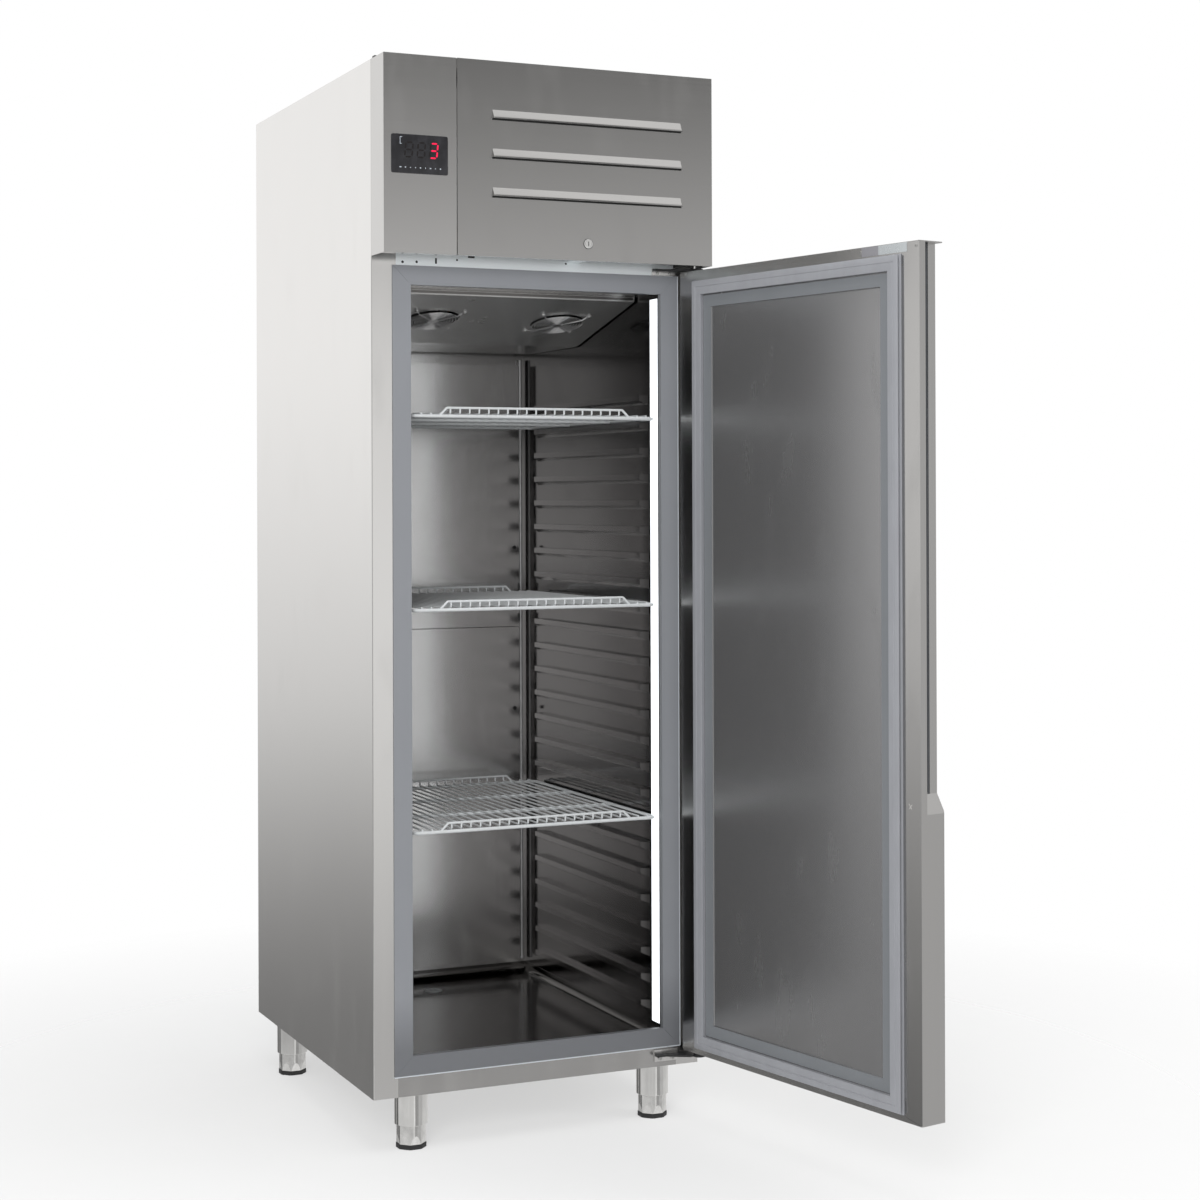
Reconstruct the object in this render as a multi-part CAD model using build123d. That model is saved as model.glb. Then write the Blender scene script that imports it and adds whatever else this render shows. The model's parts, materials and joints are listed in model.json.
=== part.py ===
from build123d import *
import math
import os

# An upright refrigerator: one solid door, wire shelves, and its cooling machine on top.
# X to the right, Y to the rear, Z up, all in millimetres. The origin is on the floor, midway
# across the body, under the plane of the body's front face. The door is drawn shut, then swung open.

# Body
body_width = 700.0
body_depth = 825.0
body_bottom = 107.0
body_top = 2121.0
machine_height = 356.0
deck_top = body_top - machine_height
steel = 1.0
rear_flange = 20.0
top_hem = 15.0

# Cold space, within the foamed walls
side_wall = 78.0
back_wall = 78.0
base_wall = 53.0
roof_wall = 75.0
cavity_width = body_width - 2 * side_wall
cavity_back = body_depth - back_wall
cavity_floor = body_bottom + base_wall
cavity_ceiling = deck_top - roof_wall
liner_steel = 0.8
pan_rim = 22.0
pan_cove = 16.0
drain_radius = 14.0
drain_back_gap = 117.0
drain_y = cavity_back - drain_back_gap

# Breaker frame around the opening
opening_side_step = 2.0
opening_sill = 25.0
opening_head = 3.0
opening_width = cavity_width - 2 * opening_side_step
opening_bottom = cavity_floor + opening_sill
opening_top = cavity_ceiling - opening_head
frame_band = 37.5
frame_proud = 2.5
frame_body = 9.7
frame_lip = 7.5
front_flange = side_wall + opening_side_step - frame_band + frame_lip
mitre_gap = 0.3

# Holes of the front rail, from its left end and the frame's top: across, up, then radius or size
rail_holes = ((14.0, 6.5, 2.6), (43.0, 7.5, 2.6), (127.0, 14.5, 2.2), (360.0, 16.5, 2.2))
rail_slots = ((81.0, 5.5, 4.0, 11.0), (150.0, 19.5, 14.0, 4.0))

# Evaporator cover and its two fans
cover_gap = 4.0
cover_front = 120.0
cover_lip = 9.0
cover_flat_length = 276.0
cover_back_gap = 47.0
cover_drop = 84.0
cover_rear = cavity_back - cover_back_gap
cover_bend = cover_rear - cover_flat_length
cover_flat_z = cavity_ceiling - cover_drop
fan_left_gap = 222.0
fan_left_x = -body_width / 2 + fan_left_gap
fan_right_gap = 196.0
fan_right_x = body_width / 2 - fan_right_gap
fan_setback = 148.0
fan_y = cover_front + fan_setback
fan_hole_radius = 57.0
fan_frame_size = 119.0
fan_frame_depth = 25.0
fan_screw_pitch = 105.0
fan_blade_radius = 54.5
fan_shaft_radius = 1.5
guard_wire = 1.3
guard_drop = 4.8
guard_rings = 5
tab_radius = 6.0
coil_front_gap = 16.0
coil_rear_gap = 90.0
coil_side_gap = 47.0
coil_front = cover_bend + coil_front_gap
coil_rear = cover_rear - coil_rear_gap
coil_half_width = cavity_width / 2 - coil_side_gap
coil_height = 62.0
fin_pitch = 7.0
fin_gap = 5.0
plate_steel = 1.5

# Shelf runners pressed in the inner walls
runner_pitch = 54.5
runner_first_rise = 69.5
runner_head_gap = 120.0
runner_first_top = cavity_floor + runner_first_rise
runner_count = int((cover_flat_z - runner_head_gap - runner_first_top) / runner_pitch) + 1
runner_reach = 16.0
runner_height = 19.0
runner_front = 62.0
runner_back_gap = 92.0
runner_rear = cavity_back - runner_back_gap
runner_end_slope = 11.0

# Wire shelves
shelf_side_gap = 7.0
shelf_front = 10.0
shelf_back_gap = 87.0
shelf_width = cavity_width - 2 * shelf_side_gap
shelf_length = cavity_back - shelf_back_gap - shelf_front
shelf_rod = 3.5
shelf_wire = 1.8
shelf_rail = 2.4
shelf_wire_pitch = 20.3
shelf_fence_height = 16.5
shelf_fence_inset = 75.0
shelf_fence_half = shelf_width / 2 - shelf_fence_inset
shelf_corner = 14.0
weld_depth = 0.4
shelf_shares = {"shelf_bottom": 7 / 24, "shelf_middle": 15 / 24, "shelf_top": 22 / 24}

# Light strip on the hinge side
light_front = 11.0
light_width = 38.0
light_proud = 2.8
light_wall = 1.4

# Rear air duct
duct_side_gap = 22.0
duct_depth = 25.0
duct_floor_gap = 36.0
duct_cover_gap = 25.5
duct_lower_height = 774.5
duct_half_width = cavity_width / 2 - duct_side_gap
duct_bottom = cavity_floor + duct_floor_gap
duct_seam = duct_bottom + duct_lower_height
duct_top = cover_flat_z - duct_cover_gap
seam_gap = 1.6
plug_radius = 4.5
plug_rises = (184.5, -190.5)
clip_rises = (92.1, 21.9)

# Door
door_gap = 12.0
door_depth = 58.0
door_below_opening = 40.5
door_above_opening = 42.5
door_bottom = opening_bottom - door_below_opening
door_top = opening_top + door_above_opening
door_steel = 1.0
end_cap = 2.0
door_border = 40.0
door_open_angle = 101.3
hinge_inset = 16.8
hinge_depth = 29.5
recess_rise = 556.5
recess_bottom = door_bottom + recess_rise
recess_slope = 34.0
recess_lip_setback = 20.0
recess_shelf = 14.5
recess_lip = 18.0
recess_reach = 56.0
recess_lining = 1.5
gasket_side_lap = 34.0
gasket_top_lap = 22.0
gasket_bottom_lap = 29.0
gasket_outer_half = opening_width / 2 + gasket_side_lap
gasket_top = opening_top + gasket_top_lap
gasket_bottom = opening_bottom - gasket_bottom_lap
gasket_band = 32.0
gasket_gap = 0.5
gasket_base = 3.0
gasket_head = 3.0
retainer_band = 23.0
retainer_proud = 1.5
pan_recess = 1.0
pan_border = retainer_band + 0.8
pan_slope = 1.5

# Door hinges
hinge_plate = 4.0
hinge_pin_radius = 5.0
hinge_pin_length = 30.0
bush_radius = 9.0
bush_flange_radius = 12.0
running_clearance = 0.05
seat_clearance = 0.3
top_arm_gap = 3.5
bottom_arm_gap = 10.5
hinge_leg_height = 12.0
hinge_leg_inner = 48.0
hinge_leg_outer = 100.0

# Fascia
fascia_drop = 25.0
fascia_bottom = deck_top - fascia_drop
fascia_depth = 76.5
fascia_steel = 1.2
strip_width = 148.0
panel_proud = 1.5
panel_gap = 1.3
panel_lip = 9.0
panel_return_clearance = 3.0
hood_left_gap = 72.2
hood_right_gap = 71.0
hood_rise = 117.5
hood_left = -body_width / 2 + strip_width + panel_gap + hood_left_gap
hood_right = body_width / 2 - hood_right_gap
hood_first_z = fascia_bottom + hood_rise
hood_pitch = 75.5
hood_count = 3
hood_height = 17.0
hood_reach = 8.0
hood_bevel = 3.5
slot_drop = 2.8
slot_overrun = 1.0
display_left = 15.0
display_width = 115.0
display_rise = 152.0
display_bottom = fascia_bottom + display_rise
display_height = 75.0
display_proud = 1.2
display_corner = 4.0
lock_x = 75.0
lock_rise = 33.6
lock_z = fascia_bottom + lock_rise
lock_radius = 9.5
lock_depth = 24.0
plug_face_radius = 6.2
cam_length = 26.0
cam_width = 12.0
cam_thickness = 3.0
panel_axis_setback = 10.5
panel_axis_drop = 11.0
panel_axis_y = -fascia_depth + panel_axis_setback
panel_axis_z = body_top - panel_axis_drop
panel_rod_radius = 3.0

# Machine compartment
condenser_right_gap = 50.0
condenser_width = 360.0
condenser_left = body_width / 2 - condenser_right_gap - condenser_width
condenser_front = 30.0
condenser_depth = 70.0
condenser_height = 300.0
shroud_depth = 122.0
condenser_fan_radius = 112.0
condenser_fan_clearance = 8.0
condenser_shaft_radius = 4.0
motor_radius = 44.0
motor_length = 58.0
compressor_side_gap = 200.0
compressor_back_gap = 265.0
compressor_x = -body_width / 2 + compressor_side_gap
compressor_y = body_depth - compressor_back_gap
compressor_radius = 92.0
compressor_height = 200.0
compressor_base = 3.0
pot_wall = 3.5
grommet_height = 12.0
grommet_radius = 12.0
pipe_hole_gap = 118.0
pipe_hole_x = compressor_x + compressor_radius + pipe_hole_gap
pipe_hole_back_gap = 55.0
pipe_hole_y = cover_rear - pipe_hole_back_gap
pipe_hole_radius = 24.0
suction_radius = 5.0
discharge_radius = 4.0
liquid_radius = 3.0
drier_radius = 11.0
drier_length = 110.0
box_right_gap = 40.0
box_back_gap = 95.0
box_width = 150.0
box_depth = 170.0
box_left = body_width / 2 - box_right_gap - box_width
box_front = body_depth - box_back_gap - box_depth
box_height = 90.0
box_wall = 2.5
inlet_side_gap = 100.0
inlet_rise = 140.0
inlet_x = body_width / 2 - inlet_side_gap
inlet_z = deck_top + inlet_rise
inlet_width = 48.0
inlet_height = 28.0

# Air slots of the rear sheet
vent_rows = 5
vent_columns = 4
vent_side_gap = 120.0
vent_rise = 70.0
vent_pitch_x = 100.0
vent_pitch_z = 34.0
vent_length = 80.0
vent_height = 10.0
vent_top_gap = 20.0

# Legs
leg_front_inset = 88.0
leg_rear_inset = 36.0
leg_front_y = 34.0
leg_back_gap = 148.0
leg_front_x = body_width / 2 - leg_front_inset
leg_rear_x = body_width / 2 - leg_rear_inset
leg_rear_y = body_depth - leg_back_gap
sleeve_radius = 33.0
sleeve_bottom = 46.0
sleeve_cap = 3.0
insert_radius = 29.0
foot_across = 55.0
foot_flare = 0.5
foot_flare_height = 6.0
foot_top = 30.0
foot_raise = 10.0
pad_height = 8.0
pad_lap = 1.0

# Sizes worked out from the ones above
half = body_width / 2
wall_x = cavity_width / 2
opening_x = opening_width / 2
flange_x = half - front_flange
frame_x = opening_x + frame_band
frame_bottom = opening_bottom - frame_band
frame_top = opening_top + frame_band
door_inner_y = -door_gap
door_outer_y = -door_gap - door_depth
hinge_x = half - hinge_inset
hinge_y = -door_gap - hinge_depth
strip_y = -fascia_depth
panel_y = -fascia_depth - panel_proud
strip_x = -half + strip_width
panel_x = strip_x + panel_gap
insert_top = body_bottom - sleeve_cap - foot_raise - seat_clearance


def block(x0, x1, y0, y1, z0, z1):
    """A box between two corners."""
    centre = Pos((x0 + x1) / 2, (y0 + y1) / 2, (z0 + z1) / 2)
    return centre * Box(abs(x1 - x0), abs(y1 - y0), abs(z1 - z0))


def rod(radius, start, end):
    """A round bar from one point to another."""
    run = Vector(*end) - Vector(*start)
    return Solid.make_cylinder(radius, run.length, Plane(origin=start, z_dir=run))


def tube(radius, bend, points):
    """A bent round bar that follows points with one bend radius."""
    path = FilletPolyline(*points, radius=bend)
    start = Plane(origin=path @ 0, z_dir=path % 0)
    return sweep(start * Circle(radius), path=path)


def prism_along_x(points, x0, x1):
    """A polygon of (y, z) points, extruded from x0 to x1."""
    face = make_face(Polyline(*[(x0, y, z) for y, z in points], close=True))
    return extrude(face, amount=x1 - x0, dir=(1, 0, 0))


def prism_along_y(points, y0, y1):
    """A polygon of (x, z) points, extruded from y0 to y1."""
    face = make_face(Polyline(*[(x, y0, z) for x, z in points], close=True))
    return extrude(face, amount=y1 - y0, dir=(0, 1, 0))


def rectangle_at_y(x0, x1, z0, z1, y):
    """A flat rectangle that faces the front."""
    return make_face(Polyline((x0, y, z0), (x1, y, z0), (x1, y, z1), (x0, y, z1), close=True))


def frustum_along_y(near, far):
    """A tapered block between two rectangles, each (x0, x1, z0, z1, y)."""
    return loft([rectangle_at_y(*near), rectangle_at_y(*far)], ruled=True)


def ring_along_y(half_outer, half_inner, bottom, top, band, y0, y1):
    """A flat rectangular ring, facing the front."""
    outer = block(-half_outer, half_outer, y0, y1, bottom, top)
    inner = block(-half_inner, half_inner, y0 - 1, y1 + 1, bottom + band, top - band)
    return outer - inner


def write(name, shape):
    """Writes one sub-part to its own file."""
    export_step(shape, f"parts/{name}.step")


def group(solids):
    """Separate solids that share one node."""
    flat = []
    for item in solids:
        flat += item.solids()
    return Compound(children=flat)


# Body shell


def side_panel(side):
    """One outer side with its folded front, rear and top flanges."""
    outer = side * half
    inner = outer - side * steel
    panel = block(outer, inner, 0, body_depth, body_bottom, body_top)
    panel += block(inner, side * flange_x, 0, steel, body_bottom, body_top)
    rear_x = outer - side * rear_flange
    panel += block(inner, rear_x, body_depth - steel, body_depth, body_bottom, body_top)
    hem_x = outer - side * top_hem
    panel += block(inner, hem_x, steel, body_depth - steel, body_top - steel, body_top)
    corner = panel.edges().filter_by(Axis.Z).group_by(Axis.X)[-1 if side > 0 else 0]
    return fillet(corner, steel * 1.5)


def back_panel():
    """The rear sheet, with rows of air slots behind the machine and a cut-out for the inlet."""
    reach = half - rear_flange
    top = body_top - vent_top_gap
    panel = block(-reach, reach, body_depth - steel, body_depth, body_bottom + steel, top)
    slots = []
    for row in range(vent_rows):
        for column in range(vent_columns):
            x = -half + vent_side_gap + column * vent_pitch_x
            z = deck_top + vent_rise + row * vent_pitch_z
            slots.append(block(x, x + vent_length, body_depth - 5, body_depth + 5, z, z + vent_height))
    slots.append(inlet_cutout())
    return panel - slots


def inlet_cutout():
    """The hole in the rear sheet that the power inlet passes."""
    x = inlet_width / 2 - 5
    z = inlet_height / 2 - 2
    y0, y1 = body_depth - 10, body_depth + 10
    return block(inlet_x - x, inlet_x + x, y0, y1, inlet_z - z, inlet_z + z)


def base_panel():
    """The bottom sheet with the front band under the breaker frame."""
    inner = half - steel
    sheet = block(-inner, inner, steel, body_depth - steel, body_bottom, body_bottom + steel)
    band_top = frame_bottom + frame_lip
    sheet += block(-flange_x, flange_x, 0, steel, body_bottom, band_top)
    return sheet - rod(drain_radius, (0, drain_y, body_bottom - 5), (0, drain_y, body_bottom + 5))


def machine_deck():
    """The sheet on top of the insulated box, with a hole for the pipes."""
    inner = half - steel
    sheet = block(-inner, inner, steel, body_depth - steel, deck_top - steel, deck_top)
    return sheet - pipe_hole()


def pipe_hole():
    """The round way through the deck, the foam and the ceiling."""
    low = (pipe_hole_x, pipe_hole_y, cavity_ceiling - 5)
    high = (pipe_hole_x, pipe_hole_y, deck_top + 5)
    return rod(pipe_hole_radius, low, high)


def front_rail():
    """The bright rail over the opening, with its small holes and the keeper of the panel lock."""
    rail = block(-flange_x, flange_x, 0, steel, frame_top - frame_lip, deck_top)
    holes = []
    for inset, rise, radius in rail_holes:
        x = -flange_x + inset
        z = frame_top + rise
        holes.append(rod(radius, (x, -5, z), (x, 5, z)))
    for inset, rise, width, height in rail_slots:
        x = -flange_x + inset
        z = frame_top + rise
        holes.append(block(x, x + width, -5, 5, z, z + height))
    rail -= holes
    tray_z = fascia_bottom + 4
    lip_y = strip_y + 11
    keeper = block(lock_x - 15, lock_x + 15, lip_y, 0, tray_z, tray_z + plate_steel)
    keeper += block(lock_x - 15, lock_x + 15, lip_y, lip_y + plate_steel, tray_z, tray_z + 14)
    return rail + keeper


def cabinet_foam():
    """The foamed insulation between the outer sheets and the inner liner."""
    side = half - steel
    foam = block(-side, side, steel, body_depth - steel, body_bottom + steel, deck_top - steel)
    wall = wall_x + liner_steel
    back = cavity_back + liner_steel
    foam -= block(-wall, wall, -5, back, cavity_floor - liner_steel, cavity_ceiling + liner_steel)
    lip_bottom = frame_bottom + frame_lip
    lip_top = frame_top - frame_lip
    foam -= block(-flange_x, flange_x, -5, frame_body + seat_clearance, lip_bottom, lip_top)
    foam -= pipe_hole()
    foam -= rod(drain_radius + 2, (0, drain_y, body_bottom - 5), (0, drain_y, cavity_floor + 5))
    return foam


# Inner liner


def runner(side, z_top, shrink):
    """One pressed runner as a tapered block on the wall; shrink gives the hollow behind it."""
    wall = side * (wall_x + (liner_steel * 1.1 if shrink else 0))
    nose = side * (wall_x - runner_reach + shrink)
    y0 = runner_front + shrink
    y1 = runner_rear - shrink
    z1 = z_top - shrink
    z0 = z_top - runner_height + shrink
    drop = runner_height * 0.4
    base = Polyline((wall, y0, z0), (wall, y1, z0), (wall, y1, z1), (wall, y0, z1), close=True)
    slope = runner_end_slope
    low = z0 + drop
    tip = Polyline(
        (nose, y0 + slope, low),
        (nose, y1 - slope, low),
        (nose, y1 - slope, z1),
        (nose, y0 + slope, z1),
        close=True,
    )
    return loft([make_face(base), make_face(tip)], ruled=True)


def liner_wall(side):
    """One inner side wall with its pressed shelf runners."""
    inner = side * wall_x
    outer = side * (wall_x + liner_steel)
    front = frame_body + seat_clearance
    low = cavity_floor - liner_steel
    high = cavity_ceiling + liner_steel
    wall = block(inner, outer, front, cavity_back + liner_steel, low, high)
    tops = [runner_first_top + runner_pitch * i for i in range(runner_count)]
    wall += [runner(side, z, 0) for z in tops]
    return wall - [runner(side, z, liner_steel) for z in tops]


def liner_back():
    """The inner rear wall."""
    low = cavity_floor - liner_steel
    high = cavity_ceiling + liner_steel
    return block(-wall_x, wall_x, cavity_back, cavity_back + liner_steel, low, high)


def liner_ceiling():
    """The inner ceiling with the way for the pipes."""
    front = frame_body + seat_clearance
    sheet = block(-wall_x, wall_x, front, cavity_back, cavity_ceiling, cavity_ceiling + liner_steel)
    return sheet - pipe_hole()


def floor_pan():
    """The coved floor tray with a dished drain hole."""
    front = frame_body + seat_clearance
    low = cavity_floor - liner_steel
    pan = block(-wall_x, wall_x, front, cavity_back, low, cavity_floor + pan_rim)
    x = wall_x - liner_steel
    y0 = front + liner_steel
    y1 = cavity_back - liner_steel
    hollow = block(-x, x, y0, y1, cavity_floor, cavity_floor + pan_rim + 10)
    hollow = fillet(hollow.edges().group_by(Axis.Z)[0], pan_cove)
    pan -= hollow
    pan -= rod(drain_radius, (0, drain_y, low - 1), (0, drain_y, cavity_floor + 1))
    return pan


def drain_fitting():
    """The drain spigot through the base, with its flange and strainer cross on the floor pan."""
    low = body_bottom - 9
    flange_top = cavity_floor + 1.5
    neck = drain_radius - seat_clearance
    fitting = rod(neck, (0, drain_y, low), (0, drain_y, flange_top))
    fitting += rod(drain_radius + 6, (0, drain_y, cavity_floor), (0, drain_y, flange_top))
    fitting -= rod(neck - 2, (0, drain_y, low - 1), (0, drain_y, flange_top + 1))
    cross_top = flange_top - 0.5
    fitting += block(-neck + 1, neck - 1, drain_y - 1, drain_y + 1, cross_top - 2, cross_top)
    fitting += block(-1, 1, drain_y - neck + 1, drain_y + neck - 1, cross_top - 2, cross_top)
    return fitting


def frame_bar(outer, inner, corners, y0, y1):
    """One mitred bar between two corners of a rectangular frame, with a fine joint at each end."""
    upright = corners[0][0] == corners[1][0]
    cut = mitre_gap / 2
    points = []
    for (half_width, low, high), order in ((outer, corners), (inner, corners[::-1])):
        for x_sign, z_sign in order:
            x = x_sign * (half_width - (0 if upright else cut))
            z = (high if z_sign > 0 else low) - (z_sign * cut if upright else 0)
            points.append((x, z))
    return prism_along_y(points, y0, y1)


def breaker_frame():
    """Four mitred plastic bars around the opening, each a face plate on a deeper body."""
    face = (frame_x, frame_bottom, frame_top)
    lip = frame_lip + seat_clearance
    body = (frame_x - lip, frame_bottom + lip, frame_top - lip)
    inner = (opening_x, opening_bottom, opening_top)
    bars = []
    for corners in (((-1, -1), (-1, 1)), ((1, -1), (1, 1)), ((-1, -1), (1, -1)), ((-1, 1), (1, 1))):
        bar = frame_bar(face, inner, corners, -frame_proud, 0)
        bar += frame_bar(body, inner, corners, 0, frame_body)
        bars.append(bar)
    return group(bars)


def led_housing():
    """The channel of the light strip, on the hinge-side wall."""
    low = opening_bottom + 5
    high = opening_top - 7
    face = wall_x - light_proud
    y1 = light_front + light_width
    channel = block(face, wall_x, light_front, y1, low, high)
    floor_x = wall_x - light_proud / 3
    pocket = block(face - 1, floor_x, light_front + light_wall, y1 - light_wall, low + 1, high - 1)
    return channel - pocket


def led_diffuser():
    """The white light cover in the channel."""
    low = opening_bottom + 5 + 1 + seat_clearance
    high = opening_top - 7 - 1 - seat_clearance
    y0 = light_front + light_wall + seat_clearance
    y1 = light_front + light_width - light_wall - seat_clearance
    face = wall_x - light_proud - 0.6
    cover = block(face, wall_x - light_proud / 3, y0, y1, low, high)
    return fillet(cover.edges().filter_by(Axis.Z).group_by(Axis.X)[0], 1.2)


# Evaporator


cover_slope = math.atan2(cavity_ceiling - cover_lip - cover_flat_z, cover_bend - cover_front)
fan_z = cavity_ceiling - cover_lip - (fan_y - cover_front) * math.tan(cover_slope)


def fan_plane(x, above=0.0):
    """The plane of one fan: its origin on the sloping sheet, its Z square to the sheet."""
    normal = (0, math.sin(cover_slope), math.cos(cover_slope))
    plane = Plane(origin=(x, fan_y, fan_z), x_dir=(1, 0, 0), z_dir=normal)
    return plane.offset(above)


def evaporator_cover():
    """The sloping pan under the coil, open at the rear, with two fan holes."""
    lip_z = cavity_ceiling - cover_lip
    outline = [
        (cover_front, cavity_ceiling),
        (cover_front, lip_z),
        (cover_bend, cover_flat_z),
        (cover_rear, cover_flat_z),
        (cover_rear, cavity_ceiling),
    ]
    lift = steel / math.cos(cover_slope)
    hollow = [
        (cover_front + steel, cavity_ceiling + 5),
        (cover_front + steel, lip_z + lift),
        (cover_bend, cover_flat_z + lift),
        (cover_rear - steel, cover_flat_z + lift),
        (cover_rear - steel, cavity_ceiling + 5),
    ]
    x = wall_x - cover_gap
    cover = prism_along_x(outline, -x, x) - prism_along_x(hollow, -x + steel, x - steel)
    cover -= block(-x + 30, x - 30, cover_rear - 5, cover_rear + 5, cover_flat_z + 12, cavity_ceiling - 8)
    for fan_x in (fan_left_x, fan_right_x):
        cover -= fan_plane(fan_x, -10) * Pos(0, 0, 10) * Cylinder(fan_hole_radius, 40)
    return cover


def evaporator_fan_frames():
    """Two square fan frames on the sloping sheet, each with its motor on four arms."""
    frames = []
    bottom = steel + seat_clearance
    for x in (fan_left_x, fan_right_x):
        size = fan_frame_size
        depth = fan_frame_depth
        frame = Pos(0, 0, bottom + depth / 2) * Box(size, size, depth)
        frame = fillet(frame.edges().filter_by(Axis.Z), 5)
        frame -= Pos(0, 0, bottom + depth / 2) * Cylinder(fan_hole_radius, depth + 2)
        top = bottom + depth
        arms = Pos(0, 0, top - 2) * Box(2 * fan_hole_radius + 2, 6, 4)
        arms += Pos(0, 0, top - 2) * Box(6, 2 * fan_hole_radius + 2, 4)
        motor = Pos(0, 0, top - 3.5) * Cylinder(19, 7)
        bore = Pos(0, 0, top - 5) * Cylinder(fan_shaft_radius + running_clearance, 14)
        frame = frame + arms + motor - bore
        frames.append(fan_plane(x) * frame)
    return group(frames)


def blade(root_radius, tip_radius, root_chord, tip_chord, root_pitch, tip_pitch, thickness):
    """One fan blade as a twisted plate that grows out along X."""
    root = Plane(origin=(root_radius, 0, 0), x_dir=(0, 1, 0), z_dir=(1, 0, 0))
    tip = Plane(origin=(tip_radius, 0, 0), x_dir=(0, 1, 0), z_dir=(1, 0, 0))
    near = root * Rot(0, 0, root_pitch) * Rectangle(root_chord, thickness)
    far = tip * Rot(0, 0, tip_pitch) * Rectangle(tip_chord, thickness)
    return loft([near, far], ruled=True)


def evaporator_fan(x):
    """A small axial fan: hub, shaft and five blades."""
    top = steel + seat_clearance + fan_frame_depth
    hub_low = steel + 4
    hub_high = top - 7 - seat_clearance
    middle = (hub_low + hub_high) / 2
    fan = Pos(0, 0, middle) * Cylinder(18, hub_high - hub_low)
    for i in range(5):
        one = blade(15, fan_blade_radius, 15, 21, 38, 24, 1.4)
        fan += Pos(0, 0, middle) * Rot(0, 0, 72 * i) * one
    fan += Pos(0, 0, top - 5) * Cylinder(fan_shaft_radius, 10)
    return fan_plane(x) * fan


def guard_ring(radius, z):
    """One flat ring of a fan guard."""
    w = guard_wire * 0.8
    return Pos(0, 0, z) * (Cylinder(radius + w, 2 * w) - Cylinder(radius - w, 4 * w))


def evaporator_fan_guards():
    """Two chromed guards under the sloping sheet: rings on four spokes that end in screw tabs."""
    w = guard_wire
    reach = fan_screw_pitch / math.sqrt(2)
    edge = reach - tab_radius + 1
    bend = fan_hole_radius
    tab_z = -w - seat_clearance
    spoke_z = tab_z - guard_drop
    side = [
        (0, spoke_z - w),
        (bend, spoke_z - w),
        (edge, tab_z - w),
        (edge, tab_z + w),
        (bend - 1, spoke_z + w),
        (0, spoke_z + w),
    ]
    spoke = prism_along_y(side, -w, w)
    tab = Pos(reach, 0, tab_z) * Cylinder(tab_radius, 2 * w)
    pieces = [guard_ring(bend - 4 - i * 9, spoke_z + w) for i in range(guard_rings)]
    for i in range(4):
        pieces.append(Rot(0, 0, 45 + 90 * i) * spoke)
        pieces.append(Rot(0, 0, 45 + 90 * i) * tab)
    guard = Pos(0, 0, spoke_z) * Cylinder(11, 2 * w) + pieces
    return group([fan_plane(x) * guard for x in (fan_left_x, fan_right_x)])


def fin_block(width, depth, height, web, pitch, gap):
    """A finned block: upright fins across X on a thin rear web, centred on its middle."""
    body = Box(width, depth, height)
    count = int((width - 2 * pitch) / pitch)
    start = -(count - 1) * pitch / 2
    slots = []
    for i in range(count):
        x = start + i * pitch
        slots.append(Pos(x, -web, 0) * Box(gap, depth, height + 2))
    return body - slots


def return_bend(radius, turn, origin, x_sign):
    """A half-round pipe bend that joins two tube ends on a coil's side, turning about Y."""
    arc = ThreePointArc(
        (origin[0], origin[1], origin[2] - turn),
        (origin[0] + x_sign * turn, origin[1], origin[2]),
        (origin[0], origin[1], origin[2] + turn),
    )
    start = Plane(origin=arc @ 0, z_dir=arc % 0)
    return sweep(start * Circle(radius), path=arc)


def evaporator_coil():
    """The finned coil on its two end plates, with return bends at both ends."""
    middle_y = (coil_front + coil_rear) / 2
    low = cover_flat_z + steel / math.cos(cover_slope)
    middle_z = low + 6 + coil_height / 2
    depth = coil_rear - coil_front
    coil = fin_block(2 * coil_half_width, depth, coil_height, 8, fin_pitch, fin_gap)
    coil = Pos(0, middle_y, middle_z) * coil
    solids = coil
    for side in (-1, 1):
        x = side * coil_half_width
        plate_x = x + side * plate_steel
        solids += block(x, plate_x, coil_front - 4, coil_rear + 4, low, low + coil_height + 12)
        for i in range(4):
            y = coil_front + 25 + i * (depth - 50) / 3
            solids += return_bend(4, 13, (plate_x, y, middle_z), side)
    return solids


# Rear air duct


def duct_plate(low, high):
    """A flat front sheet with two side returns to the rear wall, slotted for the air."""
    y = cavity_back - duct_depth
    x = duct_half_width
    plate = block(-x, x, y, y + steel, low, high)
    plate += block(-x, -x + steel, y, cavity_back, low, high)
    plate += block(x - steel, x, y, cavity_back, low, high)
    slots = []
    count = int((high - low - 60) / 70)
    for i in range(count):
        z = low + 40 + i * 70
        slots.append(block(-x - 5, -x + 5, y + 8, y + 18, z, z + 40))
        slots.append(block(x - 5, x + 5, y + 8, y + 18, z, z + 40))
    return plate - slots


def duct_clips():
    """Black plugs in the duct sheets and clips over their side edges."""
    y = cavity_back - duct_depth
    clips = []
    for side in (-1, 1):
        x = side * (duct_half_width - 12.6)
        for z in [duct_seam + rise for rise in plug_rises]:
            plug = rod(plug_radius, (x, y - 2.5, z), (x, y, z))
            clips.append(chamfer(plug.edges().group_by(Axis.Y)[0], 0.8))
        edge = side * duct_half_width
        for z in [duct_seam + rise for rise in clip_rises]:
            clips.append(block(edge - side * 3, edge, y - 3, y, z - 9, z + 9))
    return group(clips)


# Wire shelves


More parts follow.
